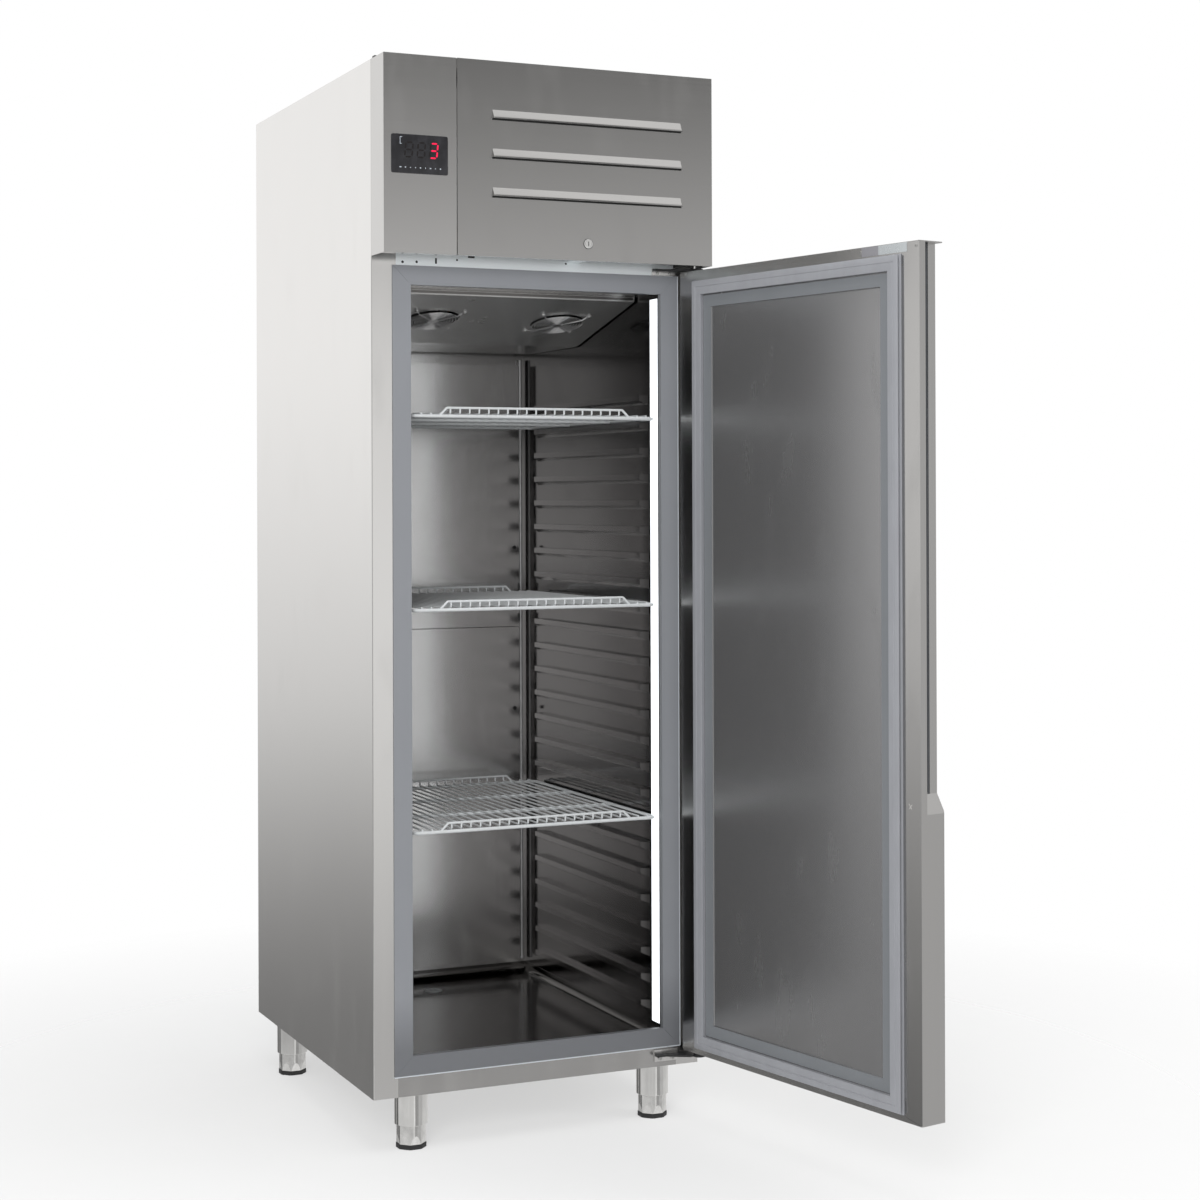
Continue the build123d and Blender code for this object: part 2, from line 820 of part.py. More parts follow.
def wire_shelf():
    """A shelf of welded wire with its frame's middle at Z 0: rods, long wires and a fence at each end."""
    x = shelf_width / 2 - shelf_rod
    y0 = shelf_front + shelf_rod
    y1 = shelf_front + shelf_length - shelf_rod
    outline = Pos(0, (y0 + y1) / 2, 0) * RectangleRounded(2 * x, y1 - y0, shelf_corner)
    path = outline.wire()
    start = Plane(origin=path @ 0, z_dir=path % 0)
    shelf = sweep(start * Circle(shelf_rod), path=path)
    pieces = []
    for share in (1 / 3, 2 / 3):
        y = y0 + (y1 - y0) * share
        pieces.append(rod(shelf_rod, (-x, y, 0), (x, y, 0)))
    wire_z = shelf_rod + shelf_wire - weld_depth
    rail_z = shelf_fence_height
    count = int((x - shelf_rod) / shelf_wire_pitch)
    for i in range(-count, count + 1):
        wx = i * shelf_wire_pitch
        if abs(wx) < shelf_fence_half - shelf_wire:
            points = [(wx, y0, rail_z), (wx, y0, wire_z), (wx, y1, wire_z), (wx, y1, rail_z)]
            pieces.append(tube(shelf_wire, 4, points))
        else:
            pieces.append(rod(shelf_wire, (wx, y0, wire_z), (wx, y1, wire_z)))
    foot_x = shelf_fence_half + shelf_fence_height
    for y in (y0, y1):
        points = [
            (-foot_x, y, 0),
            (-shelf_fence_half, y, rail_z),
            (shelf_fence_half, y, rail_z),
            (foot_x, y, 0),
        ]
        pieces.append(tube(shelf_rail, 5, points))
    return shelf + pieces


def shelf_height(level):
    """The height of a shelf's frame on the runners of one level."""
    return runner_first_top + runner_pitch * level + shelf_rod + seat_clearance


# Door, drawn shut


def swing(shape):
    """Turns a piece of the shut door to its open place."""
    return shape.rotate(Axis((hinge_x, hinge_y, 0), (0, 0, 1)), door_open_angle)


def recess_space(grow):
    """The side handle recess: the open setback of the outer skin and the finger hollow behind its lip."""
    edge = -half - 5
    low = recess_bottom - grow
    floor = recess_bottom + recess_slope - grow
    high = door_top - end_cap
    setback = -half + recess_lip_setback + grow
    reach = -half + recess_reach + grow
    shelf_y = door_inner_y - recess_shelf + grow
    lip_y = door_outer_y + recess_lip - grow
    run = recess_slope / recess_lip_setback
    start = low - 5 * run
    front = [(edge, start), (setback, floor), (setback, high), (edge, high)]
    space = prism_along_y(front, door_outer_y - 5, shelf_y)
    hollow = [(edge, start), (setback, floor), (reach, floor), (reach, high), (edge, high)]
    space += prism_along_y(hollow, lip_y, shelf_y)
    return space


def bush_pocket():
    """The two holes in the door's ends that take the hinge bushes."""
    depth = hinge_pin_length + 10
    low = rod(bush_radius, (hinge_x, hinge_y, door_bottom - 5), (hinge_x, hinge_y, door_bottom + depth))
    high = rod(bush_radius, (hinge_x, hinge_y, door_top - depth), (hinge_x, hinge_y, door_top + 5))
    return low + high


def door_skin():
    """The outer sheet: front, four sides, the handle recess and a folded border on the inner face."""
    low = door_bottom + end_cap
    high = door_top - end_cap
    shell = block(-half, half, door_outer_y, door_inner_y, low, high)
    shell = fillet(shell.edges().filter_by(Axis.Z).group_by(Axis.Y)[0], 3)
    shell -= recess_space(0)
    inner_x = half - door_steel
    void = block(
        -inner_x,
        inner_x,
        door_outer_y + door_steel,
        door_inner_y - door_steel,
        low + door_steel,
        high - door_steel,
    )
    void -= recess_space(door_steel)
    window_x = half - door_border
    z0 = door_bottom + door_border
    z1 = door_top - door_border
    window = block(-window_x, window_x, door_inner_y - door_steel - 1, door_inner_y + 1, z0, z1)
    return shell - void - window - bush_pocket()


def pan_block(grow, depth):
    """The sunk middle of the inner door pan, as a tapered block."""
    x = gasket_outer_half - gasket_band - pan_border + grow
    z0 = gasket_bottom + gasket_band + pan_border - grow
    z1 = gasket_top - gasket_band - pan_border + grow
    s = pan_slope
    near = (-x, x, z0, z1, door_inner_y)
    far = (-x + s, x - s, z0 + s, z1 - s, door_inner_y - depth)
    return frustum_along_y(near, far)


def door_foam():
    """The foam that fills the door."""
    x = half - door_steel
    low = door_bottom + end_cap + door_steel
    high = door_top - end_cap - door_steel
    foam = block(-x, x, door_outer_y + door_steel, door_inner_y - door_steel, low, high)
    foam -= recess_space(door_steel)
    foam -= bush_pocket()
    return foam - pan_block(liner_steel, pan_recess + liner_steel)


def door_liner():
    """The inner pan of the door, flush with the border and sunk in the middle."""
    x = half - door_border - seat_clearance
    z0 = door_bottom + door_border + seat_clearance
    z1 = door_top - door_border - seat_clearance
    flat = block(-x, x, door_inner_y - door_steel, door_inner_y, z0, z1)
    outer = pan_block(liner_steel, pan_recess + liner_steel)
    return (flat + outer) - pan_block(0, pan_recess)


def door_gasket():
    """The gasket: a base strip, a narrow bellows and a magnet head, all the way round."""
    reach = door_gap - frame_proud - gasket_gap
    base_y = door_inner_y + gasket_base
    head_y = door_inner_y + reach - gasket_head
    x = gasket_outer_half
    z0 = gasket_bottom
    z1 = gasket_top
    band = gasket_band
    gasket = ring_along_y(x, x - band, z0, z1, band, door_inner_y, base_y)
    inset = 6.0
    narrow = band - 2 * inset
    gasket += ring_along_y(x - inset, x - inset - narrow, z0 + inset, z1 - inset, narrow, base_y, head_y)
    inset = 2.0
    wide = band - 2 * inset
    top_y = door_inner_y + reach
    gasket += ring_along_y(x - inset, x - inset - wide, z0 + inset, z1 - inset, wide, head_y, top_y)
    return gasket


def gasket_retainer():
    """The dark strip that holds the inner edge of the gasket."""
    x = gasket_outer_half - gasket_band - seat_clearance
    z0 = gasket_bottom + gasket_band + seat_clearance
    z1 = gasket_top - gasket_band - seat_clearance
    top_y = door_inner_y + retainer_proud
    return ring_along_y(x, x - retainer_band, z0, z1, retainer_band, door_inner_y, top_y)


def handle_liner():
    """The dark channel that lines the finger hollow of the handle."""
    gap = seat_clearance
    x0 = -half + recess_lip_setback + 2
    x1 = -half + recess_reach - gap
    y0 = door_outer_y + recess_lip + gap
    y1 = door_inner_y - recess_shelf - gap
    z0 = recess_bottom + recess_slope + gap
    z1 = door_top - end_cap - gap
    channel = block(x0, x1, y0, y1, z0, z1)
    t = recess_lining
    return channel - block(x0 - 1, x1 - t, y0 + t, y1 - t, z0 + t, z1 + 1)


def door_end_caps():
    """The flat plates that close the door's top and bottom."""
    caps = []
    for z0, z1 in ((door_bottom, door_bottom + end_cap), (door_top - end_cap, door_top)):
        cap = block(-half, half, door_outer_y, door_inner_y, z0, z1)
        cap = fillet(cap.edges().filter_by(Axis.Z), 3)
        caps.append(cap - bush_pocket())
    return group(caps)


def door_bushings():
    """Two plastic bushes that turn on the hinge pins."""
    depth = hinge_pin_length + 10
    bore = hinge_pin_radius + running_clearance
    radius = bush_radius - running_clearance
    bottom_face = door_bottom - bottom_arm_gap + seat_clearance
    top_face = door_top + top_arm_gap - seat_clearance
    low = rod(radius, (hinge_x, hinge_y, bottom_face), (hinge_x, hinge_y, door_bottom + depth))
    low += rod(bush_flange_radius, (hinge_x, hinge_y, bottom_face), (hinge_x, hinge_y, door_bottom))
    low -= rod(bore, (hinge_x, hinge_y, bottom_face - 1), (hinge_x, hinge_y, door_bottom + depth - 4))
    high = rod(radius, (hinge_x, hinge_y, door_top - depth), (hinge_x, hinge_y, top_face))
    high += rod(bush_flange_radius, (hinge_x, hinge_y, door_top), (hinge_x, hinge_y, top_face))
    high -= rod(bore, (hinge_x, hinge_y, door_top - depth + 4), (hinge_x, hinge_y, top_face + 1))
    return group([low, high])


# Door hinges on the body


def hinge_arm(z0, z1):
    """The flat arm that reaches from the body to the hinge axis."""
    inner = half - hinge_leg_outer
    end = rod(bush_flange_radius + 1, (hinge_x, hinge_y, z0), (hinge_x, hinge_y, z1))
    far = hinge_x + bush_flange_radius + 1
    arm = block(hinge_x - 20, far, hinge_y, 0, z0, z1)
    arm += block(inner, hinge_x - 20, -hinge_plate - 14, 0, z0, z1)
    brace = [(inner + 20, -18), (hinge_x - 20, hinge_y - 2), (hinge_x - 20, -18)]
    face = make_face(Polyline(*[(x, y, z0) for x, y in brace], close=True))
    return arm + end + extrude(face, amount=z1 - z0, dir=(0, 0, 1))


def screw_places(z):
    """The two screw points of a hinge bracket."""
    inner = half - hinge_leg_outer
    return [(inner + 12, z), (half - hinge_leg_inner - 12, z)]


def hinge_bracket_top():
    """The upper hinge bracket: leg on the front rail, arm over the door, and its pin."""
    z0 = door_top + top_arm_gap
    z1 = z0 + hinge_plate
    bracket = hinge_arm(z0, z1)
    leg_low = frame_top + 0.6
    bracket += block(half - hinge_leg_outer, half - hinge_leg_inner, -hinge_plate, 0, leg_low, z1 + 1.5)
    bracket += rod(hinge_pin_radius, (hinge_x, hinge_y, z0 - hinge_pin_length), (hinge_x, hinge_y, z0))
    holes = []
    for x, z in screw_places((leg_low + z0) / 2):
        holes.append(rod(2.2, (x, -hinge_plate - 1, z), (x, 1, z)))
    return bracket - holes


def hinge_bracket_bottom():
    """The lower hinge bracket: leg on the bottom band, arm under the door, and its pin."""
    z1 = door_bottom - bottom_arm_gap
    z0 = z1 - hinge_plate
    bracket = hinge_arm(z0, z1)
    leg_low = z0 - hinge_leg_height
    leg_high = z1 + 8
    bracket += block(half - hinge_leg_outer, half - hinge_leg_inner, -hinge_plate, 0, leg_low, leg_high)
    bracket += rod(hinge_pin_radius, (hinge_x, hinge_y, z1), (hinge_x, hinge_y, z1 + hinge_pin_length))
    holes = []
    for x, z in screw_places(leg_low + 6):
        holes.append(rod(2.7, (x, -hinge_plate - 1, z), (x, 1, z)))
    return bracket - holes


def screw(x, z, head, shank, y):
    """A pan-head screw with a cross slot, facing the front."""
    body = rod(head, (x, y - head * 0.6, z), (x, y, z))
    body = fillet(body.edges().group_by(Axis.Y)[0], head * 0.35)
    body += rod(shank, (x, y - 0.1, z), (x, y + hinge_plate, z))
    slot = head * 0.55
    body -= block(x - slot, x + slot, y - head, y - head * 0.3, z - 0.35, z + 0.35)
    body -= block(x - 0.35, x + 0.35, y - head, y - head * 0.3, z - slot, z + slot)
    return body


def cabinet_screws():
    """The screws of the hinge brackets, the screws of the fan guards and the bolt heads on the arms."""
    screws = []
    top_z = (frame_top + 0.6 + door_top + top_arm_gap) / 2
    for x, z in screw_places(top_z):
        screws.append(screw(x, z, 3.4, 2.1, -hinge_plate))
    low_z = door_bottom - bottom_arm_gap - hinge_plate - hinge_leg_height + 6
    for x, z in screw_places(low_z):
        screws.append(screw(x, z, 4.6, 2.6, -hinge_plate))
    corner = fan_screw_pitch / 2
    low = -2 * guard_wire - seat_clearance
    for fan_x in (fan_left_x, fan_right_x):
        for sx in (-1, 1):
            for sy in (-1, 1):
                head = Cylinder(4, 2.2)
                head = fillet(head.edges().group_by(Axis.Z)[0], 0.9)
                screws.append(fan_plane(fan_x) * Pos(sx * corner, sy * corner, low - 1.1) * head)
    return group(screws)


# Fascia


def control_strip():
    """The fixed left strip of the fascia with its side, top and bottom returns."""
    t = fascia_steel
    back = -panel_return_clearance + 3
    strip = block(-half, strip_x, strip_y, strip_y + t, fascia_bottom, body_top)
    strip += block(-half, -half + t, strip_y + t, back, fascia_bottom, body_top)
    strip += block(-half + t, strip_x, strip_y + t, strip_y + 40, body_top - t, body_top)
    strip += block(-half + t, strip_x, strip_y + t, strip_y + 20, fascia_bottom, fascia_bottom + t)
    strip += block(strip_x - t, strip_x, strip_y + t, strip_y + 12, fascia_bottom + t, body_top - t)
    x0 = -half + display_left + 8
    x1 = -half + display_left + display_width - 8
    z0 = display_bottom + 8
    z1 = display_bottom + display_height - 8
    return strip - block(x0, x1, strip_y - 1, strip_y + t + 1, z0, z1)


def display_lens():
    """The dark glossy window of the display."""
    x0 = -half + display_left
    y1 = strip_y
    z1 = display_bottom + display_height
    lens = block(x0, x0 + display_width, y1 - display_proud, y1, display_bottom, z1)
    lens = fillet(lens.edges().filter_by(Axis.Y), display_corner)
    return chamfer(lens.faces().sort_by(Axis.Y)[0].edges(), 0.4)


def controller_box():
    """The controller behind the display, with its screen boss in the cut-out."""
    y = strip_y + fascia_steel
    x0 = -half + display_left + 3
    x1 = x0 + display_width - 6
    z0 = display_bottom + 3
    z1 = display_bottom + display_height - 3
    box = block(x0, x1, y, y + 46, z0, z1)
    box = fillet(box.edges().filter_by(Axis.Y), 3)
    inset = 5 + seat_clearance
    boss_x0, boss_x1 = x0 + inset, x1 - inset
    box += block(boss_x0, boss_x1, strip_y + seat_clearance, y, z0 + inset, z1 - inset)
    for i in range(5):
        x = x0 + 20 + i * 18
        box += block(x, x + 10, y + 46, y + 56, z0 + 20, z0 + 34)
    return box


def hood(index, grow):
    """One air hood that leans out over its slot, as a tapered wedge; grow below 0 is its hollow."""
    z0 = hood_first_z + hood_pitch * index
    z1 = z0 + hood_height
    t = -grow
    drop = 1 if grow < 0 else 0
    root = panel_y + (0.1 if grow == 0 else fascia_steel + 1)
    near = (hood_left + t, hood_right - t, z0 - drop, z1 - t * 1.4, root)
    reach = panel_y - hood_reach + t
    b = hood_bevel
    edge = 2.2 - (0.9 if grow < 0 else 0)
    far = (hood_left + b + t, hood_right - b - t, z0 - drop, z0 + edge, reach)
    return frustum_along_y(near, far)


def hood_slot(index):
    """The narrow slot that stays open below one hood."""
    z0 = hood_first_z + hood_pitch * index
    x0 = hood_left - slot_overrun
    x1 = hood_right + slot_overrun
    return block(x0, x1, panel_y - 1, panel_y + fascia_steel + 1, z0 - slot_drop, z0)


def service_panel():
    """The hinged cover of the machine: folded edges, three air hoods, a lock hole and two hinge ears."""
    t = fascia_steel
    y0 = panel_y
    y1 = panel_y + t
    panel = block(panel_x, half, y0, y1, fascia_bottom, body_top)
    panel += block(half - t, half, y1, -panel_return_clearance, fascia_bottom, body_top)
    panel += block(panel_x, panel_x + t, y1, y1 + panel_lip, fascia_bottom, body_top)
    panel += block(panel_x + t, half - t, y1, y1 + 5, body_top - t, body_top)
    panel += block(panel_x + t, half - t, y1, y1 + panel_lip, fascia_bottom, fascia_bottom + t)
    panel += [hood(i, 0) for i in range(hood_count)]
    panel -= [hood(i, -fascia_steel) for i in range(hood_count)]
    panel -= [hood_slot(i) for i in range(hood_count)]
    panel -= rod(lock_radius + running_clearance - 2, (lock_x, y0 - 5, lock_z), (lock_x, y1 + 5, lock_z))
    for x in ear_places():
        ear = block(x, x + 3, y1 - 0.1, panel_axis_y, panel_axis_z - 7, panel_axis_z + 5)
        ear += rod(7, (x, panel_axis_y, panel_axis_z), (x + 3, panel_axis_y, panel_axis_z))
        bore = panel_rod_radius + running_clearance
        ear -= rod(bore, (x - 1, panel_axis_y, panel_axis_z), (x + 4, panel_axis_y, panel_axis_z))
        panel += ear
    return panel


def ear_places():
    """Where the two hinge ears of the service panel sit along X."""
    return [panel_x + 18, half - 30]


def panel_hinge():
    """The hinge rod of the service panel on two arms from a cross bar, with a black end block."""
    z0 = panel_axis_z - 8
    z1 = panel_axis_z + 4
    bar_z = panel_axis_z - 30
    hinge = block(-flange_x, flange_x, 0, plate_steel, bar_z, z1)
    ears = ear_places()
    for x in (ears[0] - 12, flange_x - 6):
        hinge += block(x, x + 6, panel_axis_y, 0, z0, z1)
    left_end = (ears[0] - 12, panel_axis_y, panel_axis_z)
    right_end = (ears[1] + 8, panel_axis_y, panel_axis_z)
    hinge += rod(panel_rod_radius, left_end, right_end)
    plug = block(-half + 2, -half + 16, -16, -4, body_top, body_top + 5)
    plug = fillet(plug.edges().group_by(Axis.Z)[-1], 1.5)
    foot = block(-half + 4, -half + 12, -14, 0, body_top - 30, body_top)
    return group([hinge, plug + foot])


def panel_lock():
    """The lock: a round head with a key slot, its barrel, and the cam behind the panel."""
    y = panel_y
    t = fascia_steel
    neck = lock_radius - 2
    lock = rod(lock_radius, (lock_x, y - 1.8, lock_z), (lock_x, y, lock_z))
    lock = fillet(lock.edges().group_by(Axis.Y)[0], 0.8)
    barrel_end = y + lock_depth - 6
    lock += rod(neck, (lock_x, y, lock_z), (lock_x, barrel_end, lock_z))
    lock += rod(3, (lock_x, barrel_end, lock_z), (lock_x, barrel_end + cam_thickness + 1, lock_z))
    low, high = lock_z - cam_width / 2, lock_z + cam_width / 2
    cam_x = lock_x - cam_width / 2
    lock += rod(neck + 2.5, (lock_x, y + t + seat_clearance, lock_z), (lock_x, y + t + 4, lock_z))
    groove = rod(neck, (lock_x, y - 3, lock_z), (lock_x, y - 0.6, lock_z))
    lock -= groove - rod(plug_face_radius, (lock_x, y - 4, lock_z), (lock_x, y, lock_z))
    lock -= block(lock_x - 1, lock_x + 1, y - 3, y + 8, lock_z - 4.5, lock_z + 4.5)
    cam_front = barrel_end + seat_clearance
    cam = block(cam_x, lock_x + cam_length, cam_front, cam_front + cam_thickness, low, high)
    cam = fillet(cam.edges().filter_by(Axis.Y), 3)
    shaft_hole = 3 + seat_clearance
    cam -= rod(shaft_hole, (lock_x, cam_front - 1, lock_z), (lock_x, cam_front + cam_thickness + 1, lock_z))
    return lock + cam


# Cooling machine


def condenser_middle():
    """The middle of the condenser across the body and its foot height."""
    return condenser_left + condenser_width / 2, deck_top + 4


def condenser_coil():
    """The finned condenser with end plates and return bends."""
    x, z0 = condenser_middle()
    y = condenser_front + condenser_depth / 2
    z = z0 + condenser_height / 2
    coil = fin_block(condenser_width, condenser_depth, condenser_height, 5, fin_pitch, fin_gap)
    coil = Pos(x, y, z) * coil
    rear = condenser_front + condenser_depth
    for side in (-1, 1):
        face = x + side * condenser_width / 2
        plate = face + side * plate_steel
        coil += block(face, plate, condenser_front, rear, deck_top, z0 + condenser_height)
    right = x + condenser_width / 2 + plate_steel
    for i in range(5):
        coil += return_bend(4.5, 12, (right, y, z0 + 40 + i * 55), 1)
    return coil


def condenser_shroud():
    """The sheet duct behind the condenser, with the round fan opening."""
    x, z0 = condenser_middle()
    gap = 18
    x0 = condenser_left - plate_steel - seat_clearance - steel
    x1 = condenser_left + condenser_width + plate_steel + gap
    y0 = condenser_front + condenser_depth - 10
    y1 = condenser_front + shroud_depth
    z1 = z0 + condenser_height + seat_clearance + steel
    shroud = block(x0, x1, y0, y1, deck_top, z1)
    shroud -= block(x0 + steel, x1 - steel, y0 - 1, y1 - steel, deck_top - 1, z1 - steel)
    z = z0 + condenser_height / 2
    hole = condenser_fan_radius + condenser_fan_clearance
    shroud -= rod(hole, (x, y1 - 5, z), (x, y1 + 5, z))
    collar = rod(hole + steel, (x, y1, z), (x, y1 + 12, z))
    collar -= rod(hole, (x, y1 - 1, z), (x, y1 + 13, z))
    return shroud + collar


def condenser_fan():
    """The large axial fan: hub, shaft and five blades, turning about Y."""
    x, z0 = condenser_middle()
    z = z0 + condenser_height / 2
    y1 = condenser_front + shroud_depth
    middle = y1 - 2
    fan = rod(30, (x, middle - 14, z), (x, middle + 14, z))
    plane = Plane(origin=(x, middle, z), x_dir=(1, 0, 0), z_dir=(0, 1, 0))
    for i in range(5):
        one = blade(26, condenser_fan_radius, 44, 66, 36, 22, 1.6)
        fan += plane * Rot(0, 0, 72 * i) * one
    motor_face = y1 + 30
    fan += rod(condenser_shaft_radius, (x, middle, z), (x, motor_face + 14, z))
    return fan


def condenser_fan_motor():
    """The fan motor on a three-legged bracket behind the shroud."""
    x, z0 = condenser_middle()
    z = z0 + condenser_height / 2
    y1 = condenser_front + shroud_depth
    face = y1 + 30
    motor = rod(motor_radius, (x, face, z), (x, face + motor_length, z))
    motor = fillet(motor.edges().group_by(Axis.Y)[-1], 8)
    motor = fillet(motor.edges().group_by(Axis.Y)[0], 3)
    foot_radius = condenser_fan_radius + condenser_fan_clearance + 14
    for angle in (90, 210, 330):
        c, s = math.cos(math.radians(angle)), math.sin(math.radians(angle))
        points = [
            (x + 30 * c, face + 10, z + 30 * s),
            (x + foot_radius * c, face + 10, z + foot_radius * s),
            (x + foot_radius * c, y1, z + foot_radius * s),
        ]
        motor += tube(4, 12, points)
    bore = condenser_shaft_radius + running_clearance
    return motor - rod(bore, (x, face - 1, z), (x, face + 15, z))


def compressor():
    """The sealed compressor pot on its foot plate, with three pipe stubs and a terminal cover."""
    x, y = compressor_x, compressor_y
    r = compressor_radius
    z0 = deck_top + grommet_height
    low = z0 + compressor_base
    high = low + compressor_height
    pot = rod(r, (x, y, low), (x, y, high))
    pot = fillet(pot.edges().group_by(Axis.Z)[-1], r * 0.55)
    pot = fillet(pot.edges().group_by(Axis.Z)[0], r * 0.35)
    seam_z = low + compressor_height * 0.55
    pot += rod(r + 4, (x, y, seam_z), (x, y, seam_z + 5))
    plate = block(x - r - 18, x + r + 18, y - 70, y + 70, z0, z0 + compressor_base)
    plate = fillet(plate.edges().filter_by(Axis.Z), 12)
    holes = [rod(5, (gx, gy, z0 - 1), (gx, gy, z0 + 10)) for gx, gy in grommet_places()]
    pot += rod(r * 0.62, (x, y, z0), (x, y, low + 30))
    pot += plate - holes
    inside = rod(r - pot_wall, (x, y, low + pot_wall), (x, y, high - pot_wall))
    inside = fillet(inside.edges().group_by(Axis.Z)[-1], r * 0.5)
    inside = fillet(inside.edges().group_by(Axis.Z)[0], r * 0.3)
    pump = rod(r * 0.55, (x, y, low), (x, y, high - 45))
    pot -= inside - pump
    cover_z = low + 60
    pot += block(x - 35, x + 35, y - r - 26, y - r + 20, cover_z, cover_z + 60)
    for stub in compressor_stubs():
        pot += rod(stub[2], stub[0], stub[1])
    return pot


def grommet_places():
    """The four corners of the compressor's foot plate."""
    dx, dy = compressor_radius + 6, 56
    return [(compressor_x + a * dx, compressor_y + b * dy) for a in (-1, 1) for b in (-1, 1)]


def compressor_stubs():
    """The suction and discharge stubs: start, end and radius of each."""
    x, y = compressor_x, compressor_y
    r = compressor_radius
    low = deck_top + grommet_height + compressor_base
    suction = ((x + r - 6, y, low + 80), (x + r + 22, y, low + 80), 7)
    discharge = ((x + 20, y - r + 10, low + 145), (x + 20, y - r - 16, low + 145), 6)
    return [suction, discharge]


def compressor_grommets():
    """The four rubber mounts under the compressor, each with its stud."""
    mounts = []
    for x, y in grommet_places():
        mount = rod(grommet_radius, (x, y, deck_top), (x, y, deck_top + grommet_height))
        mount = fillet(mount.edges(), 1.5)
        mount += rod(4, (x, y, deck_top + 1), (x, y, deck_top + grommet_height + compressor_base + 6))
        mounts.append(mount)
    return group(mounts)


def pipe_points():
    """The bend points of the four refrigerant pipes."""
    suction, discharge = compressor_stubs()
    coil_x = condenser_left - plate_steel
    coil_y = condenser_front + condenser_depth / 2
    top_z = deck_top + 280
    low_z = deck_top + 40
    evap_z = cover_flat_z + 30
    sx, sy, sz = suction[1]
    dx, dy, dz = discharge[1]
    drier_x = coil_x - 90
    drier_y = coil_y + 120
    hole_a = pipe_hole_x - 10
    hole_b = pipe_hole_x + 10
    rear_run = drier_y + drier_length + 40
    return {
        "discharge": (
            discharge_radius,
            18,
            [(dx, dy, dz), (dx, coil_y, dz), (dx, coil_y, top_z), (coil_x, coil_y, top_z)],
        ),
        "liquid": (
            liquid_radius,
            14,
            [(coil_x, coil_y, low_z), (drier_x, coil_y, low_z), (drier_x, drier_y, low_z)],
        ),
        "capillary": (
            liquid_radius,
            16,
            [
                (drier_x, drier_y + drier_length, low_z),
                (drier_x, rear_run, low_z),
                (hole_b, rear_run, low_z),
                (hole_b, pipe_hole_y, low_z),
                (hole_b, pipe_hole_y, evap_z),
                (hole_b, coil_rear, evap_z),
            ],
        ),
        "suction": (
            suction_radius,
            18,
            [
                (sx, sy, sz),
                (hole_a, sy, sz),
                (hole_a, pipe_hole_y, sz),
                (hole_a, pipe_hole_y, evap_z),
                (hole_a, coil_rear, evap_z),
            ],
        ),
    }


def refrigerant_pipes():
    """The discharge, liquid, capillary and suction pipes."""
    pipes = []
    for radius, bend, points in pipe_points().values():
        pipes.append(tube(radius, bend, points))
    return group(pipes)


def filter_drier():
    """The copper drier between the condenser and the capillary."""
    x, y, z = pipe_points()["liquid"][2][-1]
    body = rod(drier_radius, (x, y, z), (x, y + drier_length, z))
    return fillet(body.edges(), 6)


def electrical_box():
    """The wiring box on the deck, open at its bottom, with its lid."""
    x1 = box_left + box_width
    y1 = box_front + box_depth
    lid_z = deck_top + box_height
    box = block(box_left, x1, box_front, y1, deck_top, lid_z)
    box = fillet(box.edges().filter_by(Axis.Z), 5)
    lid = block(box_left - 2, x1 + 2, box_front - 2, y1 + 2, lid_z, lid_z + 6)
    lid = fillet(lid.edges().group_by(Axis.Z)[-1], 2)
    w = box_wall
    return box + lid - block(box_left + w, x1 - w, box_front + w, y1 - w, deck_top - 1, lid_z)


def power_inlet():
    """The mains inlet in the rear sheet: flange, body and three pins in its socket."""
    y = body_depth
    w, h = inlet_width / 2, inlet_height / 2
    inlet = block(inlet_x - w, inlet_x + w, y, y + 2, inlet_z - h, inlet_z + h)
    inlet = fillet(inlet.edges().filter_by(Axis.Y), 3)
    bw, bh = w - 5 - seat_clearance, h - 2 - seat_clearance
    inlet += block(inlet_x - bw, inlet_x + bw, y - 24, y, inlet_z - bh, inlet_z + bh)
    sw, sh = bw - 4, bh - 3
    inlet -= block(inlet_x - sw, inlet_x + sw, y - 16, y + 5, inlet_z - sh, inlet_z + sh)
    for dx, dz in ((-7, -2), (0, 3), (7, -2)):
        x, z = inlet_x + dx, inlet_z + dz
        inlet += block(x - 1, x + 1, y - 17, y - 3, z - 2, z + 2)
    return inlet


# Legs and feet


def leg_places():
    """The four legs: name, x and y."""
    return {
        "front_left": (-leg_front_x, leg_front_y),
        "front_right": (leg_front_x, leg_front_y),
        "rear_left": (-leg_rear_x, leg_rear_y),
        "rear_right": (leg_rear_x, leg_rear_y),
    }


def leg_sleeves():
    """The four round sleeves under the base, open at the bottom."""
    sleeves = []
    for x, y in leg_places().values():
        sleeve = rod(sleeve_radius, (x, y, sleeve_bottom), (x, y, body_bottom))
        sleeve = fillet(sleeve.edges().group_by(Axis.Z)[0], 1.2)
        bore = insert_radius + running_clearance
        sleeve -= rod(bore, (x, y, sleeve_bottom - 1), (x, y, body_bottom - sleeve_cap))
        sleeves.append(sleeve)
    return group(sleeves)


def eight_sided(x, y, z, apothem):
    """A level eight-sided outline round one leg, with its flats towards the front and sides."""
    return Pos(x, y, z) * Rot(0, 0, 22.5) * RegularPolygon(apothem, 8, major_radius=False)


